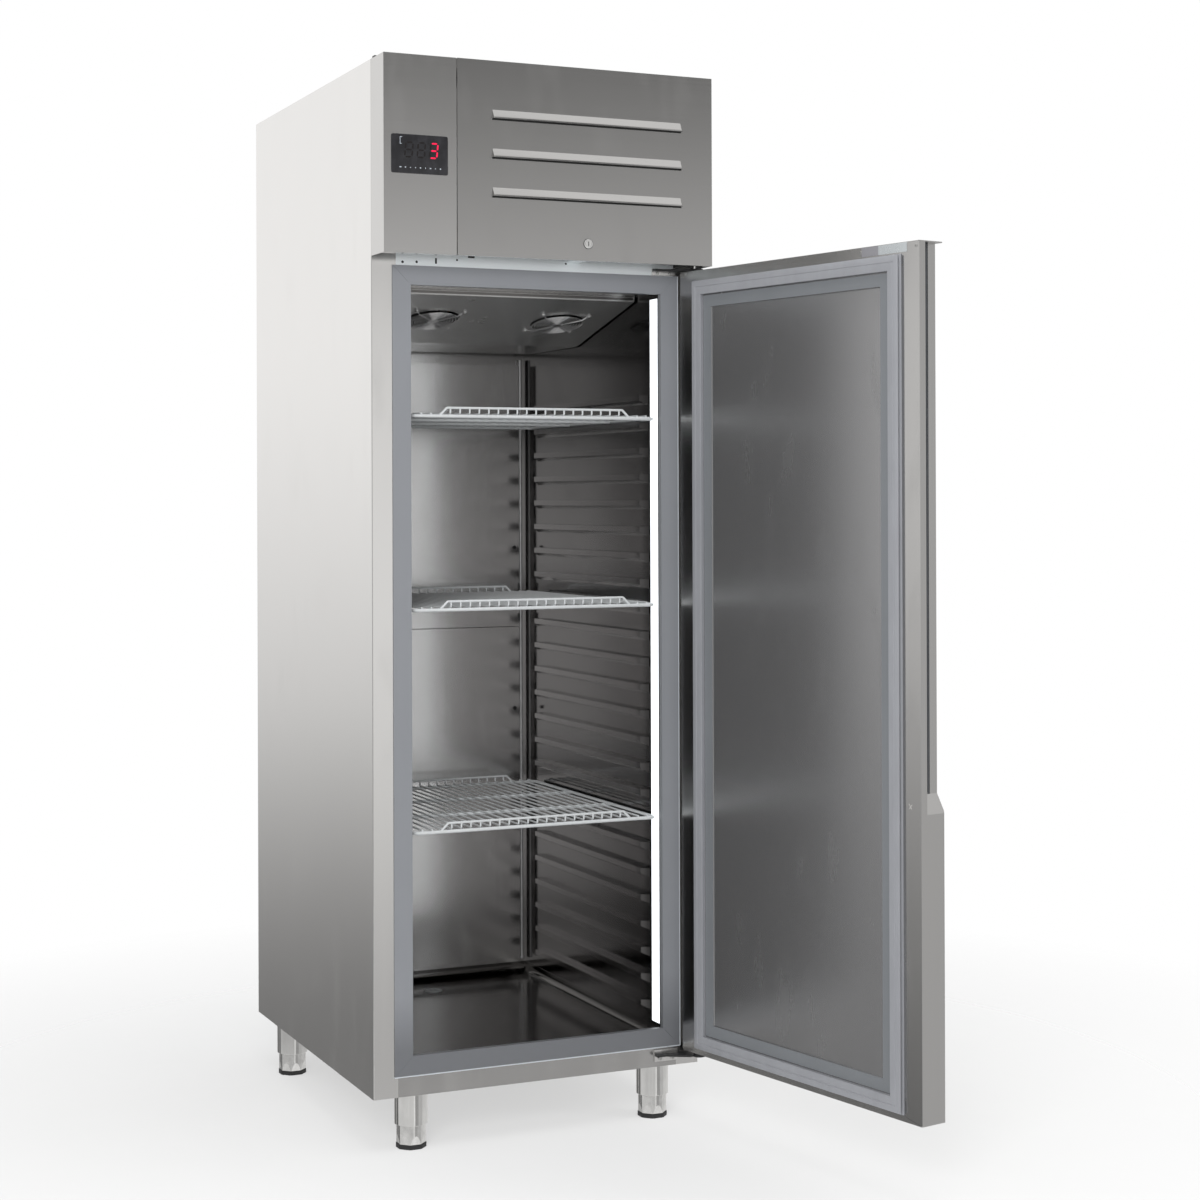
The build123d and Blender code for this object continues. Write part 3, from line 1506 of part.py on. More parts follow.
def foot(x, y):
    """One screwed foot: round insert, eight-sided lower end and rubber pad."""
    insert = rod(insert_radius, (x, y, foot_top - 2), (x, y, insert_top))
    apothem = foot_across / 2
    sole = eight_sided(x, y, pad_height, apothem - foot_flare)
    flare = eight_sided(x, y, pad_height + foot_flare_height, apothem)
    waist = eight_sided(x, y, foot_top, insert_radius + foot_flare)
    shoe = loft([sole, flare], ruled=True) + loft([flare, waist], ruled=True)
    shoe &= rod(insert_radius, (x, y, 0), (x, y, foot_top))
    pad = extrude(eight_sided(x, y, 0, apothem + pad_lap), amount=pad_height)
    pad &= rod(insert_radius + pad_lap, (x, y, 0), (x, y, pad_height))
    return group([shoe + insert, pad])


def build_all():
    """Writes every sub-part."""
    write("side_panel_left", side_panel(-1))
    write("side_panel_right", side_panel(1))
    write("back_panel", back_panel())
    write("base_panel", base_panel())
    write("machine_deck", machine_deck())
    write("front_rail", front_rail())
    write("cabinet_foam", cabinet_foam())
    write("liner_wall_left", liner_wall(-1))
    write("liner_wall_right", liner_wall(1))
    write("liner_back", liner_back())
    write("liner_ceiling", liner_ceiling())
    write("floor_pan", floor_pan())
    write("drain_fitting", drain_fitting())
    write("breaker_frame", breaker_frame())
    write("led_housing", led_housing())
    write("led_diffuser", led_diffuser())
    write("evaporator_cover", evaporator_cover())
    write("evaporator_coil", evaporator_coil())
    write("evaporator_fan_frames", evaporator_fan_frames())
    write("evaporator_fan_guards", evaporator_fan_guards())
    write("evaporator_fan_left", evaporator_fan(fan_left_x))
    write("evaporator_fan_right", evaporator_fan(fan_right_x))
    write("duct_plate_upper", duct_plate(duct_seam + seam_gap / 2, duct_top))
    write("duct_plate_lower", duct_plate(duct_bottom, duct_seam - seam_gap / 2))
    write("duct_clips", duct_clips())
    shelf = wire_shelf()
    for name, share in shelf_shares.items():
        write(name, Pos(0, 0, shelf_height(round(runner_count * share))) * shelf)
    write("door_skin", swing(door_skin()))
    write("door_foam", swing(door_foam()))
    write("door_liner", swing(door_liner()))
    write("door_gasket", swing(door_gasket()))
    write("gasket_retainer", swing(gasket_retainer()))
    write("handle_liner", swing(handle_liner()))
    write("door_end_caps", swing(door_end_caps()))
    write("door_bushings", swing(door_bushings()))
    write("hinge_bracket_top", hinge_bracket_top())
    write("hinge_bracket_bottom", hinge_bracket_bottom())
    write("cabinet_screws", cabinet_screws())
    write("control_strip", control_strip())
    write("display_lens", display_lens())
    write("controller_box", controller_box())
    write("service_panel", service_panel())
    write("panel_hinge", panel_hinge())
    write("panel_lock", panel_lock())
    write("condenser_coil", condenser_coil())
    write("condenser_shroud", condenser_shroud())
    write("condenser_fan", condenser_fan())
    write("condenser_fan_motor", condenser_fan_motor())
    write("compressor", compressor())
    write("compressor_grommets", compressor_grommets())
    write("refrigerant_pipes", refrigerant_pipes())
    write("filter_drier", filter_drier())
    write("electrical_box", electrical_box())
    write("power_inlet", power_inlet())
    write("leg_sleeves", leg_sleeves())
    for name, (x, y) in leg_places().items():
        write(f"foot_{name}", foot(x, y))


os.makedirs("parts", exist_ok=True)
build_all()
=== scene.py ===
import bpy
import bmesh
import json
import math
from mathutils import Matrix, Vector


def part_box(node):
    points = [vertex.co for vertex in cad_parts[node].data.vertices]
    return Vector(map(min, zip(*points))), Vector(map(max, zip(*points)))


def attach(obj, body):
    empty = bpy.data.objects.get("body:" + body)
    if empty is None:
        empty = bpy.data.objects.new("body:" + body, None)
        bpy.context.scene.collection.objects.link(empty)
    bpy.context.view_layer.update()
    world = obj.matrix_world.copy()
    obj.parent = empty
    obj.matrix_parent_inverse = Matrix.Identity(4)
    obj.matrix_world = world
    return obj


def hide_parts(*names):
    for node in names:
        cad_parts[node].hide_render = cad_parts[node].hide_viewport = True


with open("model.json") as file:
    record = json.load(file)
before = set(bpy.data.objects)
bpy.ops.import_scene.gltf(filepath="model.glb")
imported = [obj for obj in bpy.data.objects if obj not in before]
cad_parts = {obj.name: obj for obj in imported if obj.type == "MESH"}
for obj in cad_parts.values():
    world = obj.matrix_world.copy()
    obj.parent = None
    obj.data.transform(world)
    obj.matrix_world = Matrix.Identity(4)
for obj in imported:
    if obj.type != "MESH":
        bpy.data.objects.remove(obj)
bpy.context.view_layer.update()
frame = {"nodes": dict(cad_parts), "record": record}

bl_info = {
    "name": "Upright refrigerator",
    "version": (1, 0, 0),
    "blender": (4, 5, 0),
    "location": "View3D > Sidebar > Refrigerator",
    "description": "Gives an upright refrigerator its finishes, small parts and a plain studio",
    "category": "Object",
}

MM = 0.001
NODE_SLOT = {part["node"]: part["material_slot"] for part in frame["record"]["subparts"]}
JOINT = {joint["name"]: joint for joint in frame["record"]["behaviour"]["joints"]}
HINGE = Vector(JOINT["door_hinge"]["pos_m"])
OPEN_ANGLE = math.radians(-JOINT["door_hinge"]["range_deg"][0])


# Shader maths


class Signal:
    """A value in a node tree that takes part in sums and products."""

    def __init__(self, maker, socket):
        self.maker = maker
        self.socket = socket

    def _math(self, operation, left, right):
        return self.maker.node("ShaderNodeMath", {"operation": operation}, {0: left, 1: right})

    def __add__(self, other):
        return self._math("ADD", self, other)

    __radd__ = __add__

    def __sub__(self, other):
        return self._math("SUBTRACT", self, other)

    def __rsub__(self, other):
        return self._math("SUBTRACT", other, self)

    def __mul__(self, other):
        return self._math("MULTIPLY", self, other)

    __rmul__ = __mul__

    def __gt__(self, other):
        return self._math("GREATER_THAN", self, other)


class Tree:
    """A node tree under construction."""

    def __init__(self, tree):
        self.tree = tree
        self.tree.nodes.clear()

    def node(self, kind, settings=None, values=None, output=0):
        """Adds a node, sets its settings and then its inputs, and gives one of its outputs."""
        made = self.tree.nodes.new(kind)
        for key, value in (settings or {}).items():
            if key == "stops":
                self._stops(made.color_ramp, value)
            else:
                setattr(made, key, value)
        for key, value in (values or {}).items():
            if isinstance(value, Signal):
                self.tree.links.new(value.socket, made.inputs[key])
            else:
                made.inputs[key].default_value = value
        return Signal(self, made.outputs[output]) if len(made.outputs) else None

    def _stops(self, ramp, stops):
        while len(ramp.elements) > len(stops):
            ramp.elements.remove(ramp.elements[-1])
        while len(ramp.elements) < len(stops):
            ramp.elements.new(1.0)
        for element, (position, colour) in zip(ramp.elements, stops):
            element.position = position
            element.color = colour if len(colour) == 4 else (*colour, 1.0)

    def place(self, scale):
        """The rest place of a point, stretched along each axis."""
        where = self.node("ShaderNodeTexCoord", output="Object")
        return self.node("ShaderNodeMapping", {}, {0: where, 3: scale})

    def noise(self, scale, size=1.0, detail=2.0, rough=0.5, output=0):
        """Noise with its own stretch along each axis, as cycles for each metre."""
        values = {"Vector": self.place(scale), "Scale": size, "Detail": detail, "Roughness": rough}
        return self.node("ShaderNodeTexNoise", {}, values, output)

    def ramp(self, factor, stops):
        """A colour ramp."""
        return self.node("ShaderNodeValToRGB", {"stops": stops}, {0: factor})

    def span(self, value, low, high, to_low, to_high):
        """Maps a value from one range to another, and holds it at the ends."""
        values = {0: value, 1: low, 2: high, 3: to_low, 4: to_high}
        return self.node("ShaderNodeMapRange", {}, values)

    def mix(self, factor, first, second):
        """Mixes two colours."""
        values = {0: factor, 6: first, 7: second}
        return self.node("ShaderNodeMix", {"data_type": "RGBA"}, values, 2)

    def tones(self, value, span, colour, first, last):
        """One colour that runs from a first to a last tone as a value passes through a span."""
        factor = self.span(value, *span, 0.0, 1.0)
        return self.mix(factor, shaded(colour, first), shaded(colour, last))

    def principled(self, values):
        """The surface shader with values on its sockets."""
        return self.node("ShaderNodeBsdfPrincipled", {}, values)

    def axis(self, index):
        """One coordinate of a point's rest place, in metres."""
        where = self.node("ShaderNodeTexCoord", output="Object")
        return self.node("ShaderNodeSeparateXYZ", {}, {0: where}, index)

    def steps(self, value, pairs):
        """A curve through (value, result) pairs, with results from 0 to 1."""
        low, high = pairs[0][0], pairs[-1][0]
        stops = [((at - low) / (high - low), (level, level, level)) for at, level in pairs]
        return self.ramp(self.span(value, low, high, 0.0, 1.0), stops)

    def bump(self, height, strength, distance):
        """A bump normal from a height."""
        values = {"Height": height, "Strength": strength, "Distance": distance}
        return self.node("ShaderNodeBump", {}, values)


def finish(build):
    """Turns a function that builds a surface in a tree into one that makes a named material."""

    def make(name, *values, **named):
        material = bpy.data.materials.new(name)
        material.use_nodes = True
        tree = Tree(material.node_tree)
        surface = build(tree, *values, **named)
        tree.node("ShaderNodeOutputMaterial", {}, {"Surface": surface})
        return material

    return make


def shaded(colour, factor):
    """A colour made darker or lighter, with full alpha."""
    return (colour[0] * factor, colour[1] * factor, colour[2] * factor, 1.0)


# Finishes


# Grain of the sheets, as noise cycles for each metre along X, Y and Z
SPANGLE = (40.0, 40.0, 40.0)
VERTICAL = (420.0, 420.0, 1.3)
LEVEL = (1.3, 420.0, 420.0)

# The inner side walls, in metres: how far the runners and the wall are from the middle, and where
# painted shade darkens the wall towards its top and its front
RUNNER_FACE, WALL_FACE = 0.262, 0.270
TOP_PAINTED_SHADE = (1.05, 1.50)
FRONT_PAINTED_SHADE = (0.066, 0.10)


@finish
def brushed_sheet(tree, colour, roughness, grain, bump=0.05, smudge=0.04, metal=1.0):
    """Brushed stainless sheet: fine grain along one axis, faint clouds and wiped smudges."""
    streak = tree.noise(grain, 1.0, 3.0, 0.6)
    fine = tree.noise([g * 3.1 for g in grain], 1.0, 2.0, 0.7)
    cloud = tree.noise((2.3, 2.3, 1.6), 1.0, 3.0, 0.55)
    wipe = tree.noise((14.0, 14.0, 5.0), 1.0, 4.0, 0.6)
    tone = (streak - 0.5) * 0.16 + (fine - 0.5) * 0.10 + (cloud - 0.5) * 0.10
    base = tree.tones(tone, (-0.12, 0.12), colour, 0.965, 1.03)
    marks = tree.span(wipe, 0.52, 0.72, 0.0, smudge)
    rough = (streak - 0.5) * 0.04 + (cloud - 0.5) * 0.05 + marks + roughness
    normal = tree.bump(streak * 0.6 + fine * 0.4, bump, 0.00006)
    values = {"Base Color": base, "Metallic": metal, "Roughness": rough, "Normal": normal}
    return tree.principled(values)


@finish
def bright_metal(tree, colour, roughness, grain=(60.0, 60.0, 60.0), bump=0.1, metal=1.0):
    """Polished or plated metal with faint turning marks and handling dullness."""
    mark = tree.noise(grain, 1.0, 4.0, 0.6)
    dullness_and_painted_shade = tree.noise((35.0, 35.0, 20.0), 1.0, 3.0, 0.5)
    base = tree.tones(dullness_and_painted_shade, (0.35, 0.7), colour, 1.0, 0.88)
    rough = tree.span(mark, 0.3, 0.7, roughness * 0.8, roughness * 1.35)
    return tree.principled({
        "Base Color": base,
        "Metallic": metal,
        "Roughness": rough,
        "Normal": tree.bump(mark, bump, 0.0001),
    })


@finish
def moulded_plastic(tree, colour, roughness, speckle=0.06, bump=0.3, size=900.0, wear_and_painted_light=None):
    """Moulded or extruded plastic: a fine skin texture and slight tone changes.

    The last value gives its foot painted shade, fading out between two heights in metres, and its
    tone.
    """
    skin = tree.noise((size, size, size), 1.0, 2.0, 0.5)
    cloud = tree.noise((9.0, 9.0, 4.0), 1.0, 3.0, 0.5)
    tone = (skin - 0.5) * 0.5 + (cloud - 0.5)
    base = tree.tones(tone, (-0.3, 0.3), colour, 1.0 - speckle, 1.0 + speckle)
    # Painted shade: a darker foot that fades out between two heights
    if wear_and_painted_light:
        fade_from, fade_to, tone = wear_and_painted_light
        dullness_and_painted_shade = tree.span(tree.axis(2), fade_from, fade_to, 1.0, 0.0)
        base = tree.mix(dullness_and_painted_shade, base, shaded(colour, tone))
    rough = tree.span(cloud, 0.3, 0.7, roughness * 0.88, roughness * 1.12)
    return tree.principled({
        "Base Color": base,
        "Roughness": rough,
        "Normal": tree.bump(skin, bump, 0.00008),
    })


@finish
def soft_rubber(tree, colour, roughness):
    """Soft extruded rubber with a dry bloom."""
    bloom = tree.noise((40.0, 40.0, 12.0), 1.0, 4.0, 0.6)
    grain = tree.noise((700.0, 700.0, 700.0), 1.0, 2.0, 0.5)
    base = tree.tones(bloom, (0.35, 0.7), colour, 0.97, 1.05)
    return tree.principled({
        "Base Color": base,
        "Roughness": tree.span(bloom, 0.3, 0.7, roughness * 0.9, roughness),
        "Normal": tree.bump(grain, 0.08, 0.0001),
    })


@finish
def cast_foam(tree, colour):
    """Rigid insulating foam with open cells."""
    cells = tree.node(
        "ShaderNodeTexVoronoi", {}, {"Vector": tree.place((1.0, 1.0, 1.0)), "Scale": 900.0}
    )
    cloud = tree.noise((20.0, 20.0, 20.0), 1.0, 4.0, 0.6)
    base = tree.tones(cloud, (0.3, 0.7), colour, 0.85, 1.05)
    normal = tree.bump(cells, 0.5, 0.0006)
    return tree.principled({"Base Color": base, "Roughness": 0.9, "Normal": normal})


@finish
def split_finish(tree, axis, edge, below, above):
    """Two coats that meet at a coordinate: each is a colour, a metal share and a roughness."""
    mask = tree.axis(axis) > edge
    dullness_and_painted_shade = tree.noise((90.0, 90.0, 60.0), 1.0, 4.0, 0.6)
    wear_and_painted_light = tree.span(dullness_and_painted_shade, 0.35, 0.7, 0.0, 1.0)
    low_colour, low_metal, low_rough = below
    high_colour, high_metal, high_rough = above
    low_tone, high_tone = (
        tree.mix(wear_and_painted_light, shaded(colour, 1.0), shaded(colour, 0.86))
        for colour in (low_colour, high_colour)
    )
    return tree.principled({
        "Base Color": tree.mix(mask, low_tone, high_tone),
        "Metallic": mask * (high_metal - low_metal) + low_metal,
        "Roughness": mask * (high_rough - low_rough) + (dullness_and_painted_shade - 0.5) * 0.08 + low_rough,
        "Normal": tree.bump(dullness_and_painted_shade, 0.15, 0.0001),
    })


@finish
def runner_wall(tree, colour, roughness):
    """An inner side wall of brushed sheet: painted shade at top and front, painted highlight on
    runners.
    """
    streak = tree.noise(VERTICAL, 1.0, 3.0, 0.6)
    cloud = tree.noise((2.6, 2.6, 1.8), 1.0, 3.0, 0.55)
    side = tree.axis(0)
    # The runners' mask, and painted shade that darkens the wall towards its top and its front
    pressed = tree.span(side * side, RUNNER_FACE**2, WALL_FACE**2, 1.0, 0.0)
    top_painted_shade = tree.span(tree.axis(2), *TOP_PAINTED_SHADE, 1.0, 0.36)
    front_painted_shade = tree.span(tree.axis(1), *FRONT_PAINTED_SHADE, 0.34, 1.0)
    tone = (streak - 0.5) * 0.16 + (cloud - 0.5) * 0.12 + 0.5
    plain = tree.mix(tone, shaded(colour, 0.94), shaded(colour, 1.06))
    # The pale tones on the runners are a painted highlight; the near-black colour is painted shade
    wear_and_painted_light = tree.mix(tone, shaded(colour, 1.25), shaded(colour, 1.45))
    dark = (0.02, 0.02, 0.02, 1.0)
    base = tree.mix(top_painted_shade * front_painted_shade, dark, tree.mix(pressed, plain, wear_and_painted_light))
    rough = (streak - 0.5) * 0.04 + (cloud - 0.5) * 0.04 + pressed * 0.08 + roughness
    return tree.principled({"Base Color": base, "Metallic": 1.0, "Roughness": rough})


@finish
def lit_cover(tree, colour, strength):
    """A white light cover that glows, a touch brighter over each lamp behind it."""
    lamps = tree.noise((1.0, 1.0, 55.0), 1.0, 0.0, 0.0)
    glow = tree.tones(lamps, (0.3, 0.7), colour, 0.92, 1.0)
    return tree.principled({
        "Base Color": (*colour, 1.0),
        "Roughness": 0.35,
        "Emission Color": glow,
        "Emission Strength": strength,
    })


@finish
def lit_segment(tree, colour, strength):
    """A lit or dim segment behind the display window."""
    spread = tree.noise((400.0, 400.0, 400.0), 1.0, 1.0, 0.5)
    glow = tree.tones(spread, (0.3, 0.7), colour, 0.8, 1.0)
    return tree.principled({
        "Base Color": shaded(colour, 0.5),
        "Roughness": 0.3,
        "Emission Color": glow,
        "Emission Strength": strength,
    })


@finish
def display_glass(tree, colour):
    """A dark glossy window with a few finger marks."""
    prints = tree.noise((60.0, 60.0, 45.0), 1.0, 5.0, 0.65)
    base = tree.tones(prints, (0.4, 0.75), colour, 1.0, 2.2)
    return tree.principled({
        "Base Color": base,
        "Roughness": tree.span(prints, 0.45, 0.75, 0.09, 0.3),
        "Coat Weight": 0.6,
        "Coat Roughness": 0.05,
    })


def slot_finishes(settings):
    """One finish for each material slot of the record."""
    steel = tuple(settings.steel_colour)
    inner = tuple(settings.liner_colour)
    black = (0.022, 0.022, 0.023)
    walls = runner_wall("liner_walls", (0.27, 0.262, 0.262), 0.12)
    dark_fan = moulded_plastic("fan_plastic", (0.006, 0.006, 0.0065), 0.50, 0.15)
    # Where two coats meet on one piece, in millimetres, and then those coats
    bracket_face, pad_top, rod_start = -4.5, 9.0, -330.0
    paint, plate = (black, 0.0, 0.35), (steel, 1.0, 0.24)
    bracket = split_finish("bracket_steel", 1, bracket_face * MM, paint, plate)
    pad, foot = (black, 0.0, 0.5), ((0.80, 0.80, 0.79), 1.0, 0.14)
    rod_end, rod = (black, 0.0, 0.4), ((0.66, 0.66, 0.65), 1.0, 0.22)
    return {
        "outer_sheet": brushed_sheet("outer_sheet", steel, 0.20, VERTICAL),
        "stainless_sheet": brushed_sheet("stainless_sheet", shaded(steel, 0.78)[:3], 0.24, LEVEL),
        "door_sheet": brushed_sheet("door_sheet", shaded(steel, 0.76)[:3], 0.22, VERTICAL),
        "fascia_sheet": brushed_sheet("fascia_sheet", shaded(steel, 0.75)[:3], 0.20, LEVEL),
        "liner_sheet": brushed_sheet("liner_sheet", inner, 0.20, VERTICAL, 0.006, 0.06),
        "galvanised_sheet": brushed_sheet(
            "galvanised_sheet", (0.93, 0.98, 1.0), 0.32, SPANGLE, metal=0.2
        ),
        "bright_steel": bright_metal("bright_steel", (0.66, 0.66, 0.65), 0.20),
        "chromed_wire": bright_metal("chromed_wire", (0.97, 0.97, 0.97), 0.10, metal=0.8),
        "foot_steel": split_finish("foot_steel", 2, pad_top * MM, pad, foot),
        "fan_metal": bright_metal("fan_metal", (0.42, 0.42, 0.43), 0.38),
        "fin_metal": bright_metal("fin_metal", (0.70, 0.71, 0.72), 0.32, (30.0, 30.0, 300.0)),
        "copper": bright_metal("copper", (0.72, 0.40, 0.26), 0.30, (80.0, 80.0, 80.0), 0.2),
        "black_paint": moulded_plastic("black_paint", black, 0.30, 0.2, 0.5, 260.0),
        "foam": cast_foam("foam", (0.80, 0.72, 0.48)),
        # The frame's foot gets painted shade: darkest below 0.195 m, fading out by 0.30 m
        "frame_plastic": moulded_plastic(
            "frame_plastic", (0.255, 0.265, 0.285), 0.38, 0.04, 0.2, 1400.0, (0.195, 0.30, 0.62)
        ),
        "retainer_plastic": moulded_plastic("retainer_plastic", (0.200, 0.212, 0.226), 0.40, 0.05),
        "grey_plastic": moulded_plastic("grey_plastic", (0.36, 0.37, 0.38), 0.45),
        "black_plastic": moulded_plastic("black_plastic", (0.018, 0.018, 0.019), 0.42, 0.15),
        "coated_wire": moulded_plastic("coated_wire", (0.62, 0.64, 0.65), 0.34, 0.05, 0.4, 500.0),
        "light_channel": bright_metal("light_channel", (0.80, 0.80, 0.80), 0.35),
        "light_cover": lit_cover("light_cover", (0.93, 0.97, 1.0), settings.light_strength),
        "display_gloss": display_glass("display_gloss", (0.010, 0.010, 0.012)),
        "gasket_rubber": soft_rubber("gasket_rubber", (0.315, 0.322, 0.345), 0.50),
        "black_rubber": soft_rubber("black_rubber", (0.015, 0.015, 0.015), 0.6),
        "door_liner": brushed_sheet(
            "door_liner", (0.385, 0.385, 0.39), 0.24, VERTICAL, 0.006, 0.05, 0.76
        ),
        "liner_wall_left": walls,
        "liner_wall_right": walls,
        "floor_pan": brushed_sheet("floor_pan", (0.19, 0.185, 0.18), 0.15, LEVEL, 0.01),
        "evaporator_fan_left": dark_fan,
        "evaporator_fan_right": dark_fan,
        "evaporator_fan_frames": dark_fan,
        "evaporator_cover": brushed_sheet(
            "evaporator_cover", (0.62, 0.62, 0.61), 0.24, LEVEL, 0.03, metal=0.8
        ),
        "service_panel": brushed_sheet("panel_sheet", shaded(steel, 0.63)[:3], 0.20, LEVEL),
        "base_panel": brushed_sheet("base_sheet", shaded(steel, 0.70)[:3], 0.20, LEVEL),
        "panel_lock": bright_metal("lock_steel", (0.80, 0.80, 0.79), 0.22, metal=0.75),
        "leg_sleeves": bright_metal(
            "leg_steel", (0.82, 0.82, 0.81), 0.11, (300.0, 300.0, 6.0), 0.05
        ),
        "hinge_bracket_top": bracket,
        "hinge_bracket_bottom": bracket,
        "panel_hinge": split_finish("panel_hinge_steel", 0, rod_start * MM, rod_end, rod),
    }


# Mesh helpers


def door_place(x, y, z):
    """Where a point of the shut door, in millimetres, lies while the door stands open."""
    turn = Matrix.Rotation(OPEN_ANGLE, 4, "Z")
    hinge = Vector((HINGE.x, HINGE.y, 0.0))
    return turn @ (Vector((x, y, z)) * MM - hinge) + hinge


def new_piece(name, body, material, mesh_data, smooth=None):
    """Makes an object from bmesh data that rides on a body and takes the given finish."""
    mesh = bpy.data.meshes.new(name)
    mesh_data.to_mesh(mesh)
    mesh_data.free()
    piece = bpy.data.objects.new(name, mesh)
    bpy.context.scene.collection.objects.link(piece)
    mesh.materials.append(material)
    if smooth is not None:
        mesh.shade_smooth()
        mesh.set_sharp_from_angle(angle=math.radians(smooth))
    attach(piece, body)
    return piece


def front_circle(centre, radius, sides, turn=1):
    """Points round a circle that faces the front: clockwise from the front for a turn of -1."""
    angles = (turn * 2 * math.pi * k / sides for k in range(sides))
    return [centre + Vector((math.cos(a), 0.0, math.sin(a))) * radius for a in angles]


BOX_FACES = (
    (0, 2, 3, 1), (4, 5, 7, 6), (0, 1, 5, 4), (2, 6, 7, 3), (0, 4, 6, 2), (1, 3, 7, 5),
)


def add_block(mesh, low, high):
    """Adds a closed box between two corners to a bmesh."""
    corners = []
    for index in range(8):
        point = Vector((high[a] if index >> a & 1 else low[a] for a in range(3)))
        corners.append(mesh.verts.new(point))
    for face in BOX_FACES:
        mesh.faces.new([corners[i] for i in face])


def add_plate(mesh, outline, normal_step):
    """Adds a thin closed plate: an outline of points and a step to its other face."""
    near = [mesh.verts.new(point) for point in outline]
    far = [mesh.verts.new(point + normal_step) for point in outline]
    mesh.faces.new(near)
    mesh.faces.new(list(reversed(far)))
    count = len(outline)
    for i in range(count):
        j = (i + 1) % count
        mesh.faces.new((near[j], near[i], far[i], far[j]))


def bridge(mesh, first, second):
    """Joins two rings of vertices with a band of faces."""
    count = len(first)
    for k in range(count):
        j = (k + 1) % count
        mesh.faces.new((first[k], second[k], second[j], first[j]))


def add_tube(mesh, points, radius, sides=10, closed=False):
    """Adds a round tube along points."""
    count = len(points)
    rings = []
    previous = None
    for i, point in enumerate(points):
        ahead = points[(i + 1) % count] if closed or i < count - 1 else point
        behind = points[i - 1] if closed or i > 0 else point
        along = (ahead - behind).normalized()
        side = previous - along * previous.dot(along) if previous else along.orthogonal()
        side.normalize()
        previous = side
        other = along.cross(side)
        ring = []
        for k in range(sides):
            angle = 2 * math.pi * k / sides
            out = side * math.cos(angle) + other * math.sin(angle)
            ring.append(mesh.verts.new(point + out * radius))
        rings.append(ring)
    spans = count if closed else count - 1
    for i in range(spans):
        first, second = rings[i], rings[(i + 1) % count]
        for k in range(sides):
            j = (k + 1) % sides
            mesh.faces.new((first[k], first[j], second[j], second[k]))
    if not closed:
        mesh.faces.new(list(reversed(rings[0])))
        mesh.faces.new(rings[-1])


def bevel_node(node, width):
    """Rounds the sharp edges of a model node with a modifier."""
    modifier = frame["nodes"][node].modifiers.new("edge_round", "BEVEL")
    modifier.width = width * MM
    modifier.segments = 2
    modifier.limit_method = "ANGLE"
    modifier.angle_limit = math.radians(35.0)
    modifier.use_clamp_overlap = True


# Settings


class RefrigeratorSettings(bpy.types.PropertyGroup):
    """Colours and light levels that a user would change."""

    steel_colour: bpy.props.FloatVectorProperty(
        name="Steel colour",
        description="Base colour of the outer stainless sheets",
        subtype="COLOR",
        default=(0.80, 0.795, 0.785),
        min=0.0,
        max=1.0,
    )
    liner_colour: bpy.props.FloatVectorProperty(
        name="Liner colour",
        description="Base colour of the inner stainless sheets",
        subtype="COLOR",
        default=(0.93, 0.925, 0.92),
        min=0.0,
        max=1.0,
    )
    light_strength: bpy.props.FloatProperty(
        name="Light strip strength",
        description="How brightly the light cover glows",
        default=1.3,
        min=0.0,
    )
    digit_height: bpy.props.FloatProperty(
        name="Digit height",
        description="Height of the display's digits",
        subtype="DISTANCE",
        default=0.0278,
        min=0.001,
    )
    ambient: bpy.props.FloatProperty(
        name="Ambient light",
        description="Strength of the soft light from all round",
        default=0.55,
        min=0.0,
    )
    key_power: bpy.props.FloatProperty(
        name="Key lamp power",
        description="Power of the large lamp at the front left",
        subtype="POWER",
        default=120.0,
        min=0.0,
    )


FINISHES = {}


def finishes():
    """The slot finishes, made once."""
    if not FINISHES:
        FINISHES.update(slot_finishes(bpy.context.scene.refrigerator))
    return FINISHES


# Pieces


class REFRIGERATOR_OT_finish_nodes(bpy.types.Operator):
    """Gives every part of the model its finish and rounds the folded edges"""

    bl_idname = "refrigerator.finish_nodes"
    bl_label = "Finish the model's parts"

    folded = ("door_skin", "side_panel_left", "service_panel", "control_strip", "base_panel")
    fold_round = 0.9

    def execute(self, context):
        made = finishes()
        for node, piece in frame["nodes"].items():
            material = made.get(node) or made[NODE_SLOT[node]]
            if not piece.material_slots:
                piece.data.materials.append(material)
            for holder in piece.material_slots:
                holder.material = material
        for node in self.folded:
            bevel_node(node, self.fold_round)
        return {"FINISHED"}


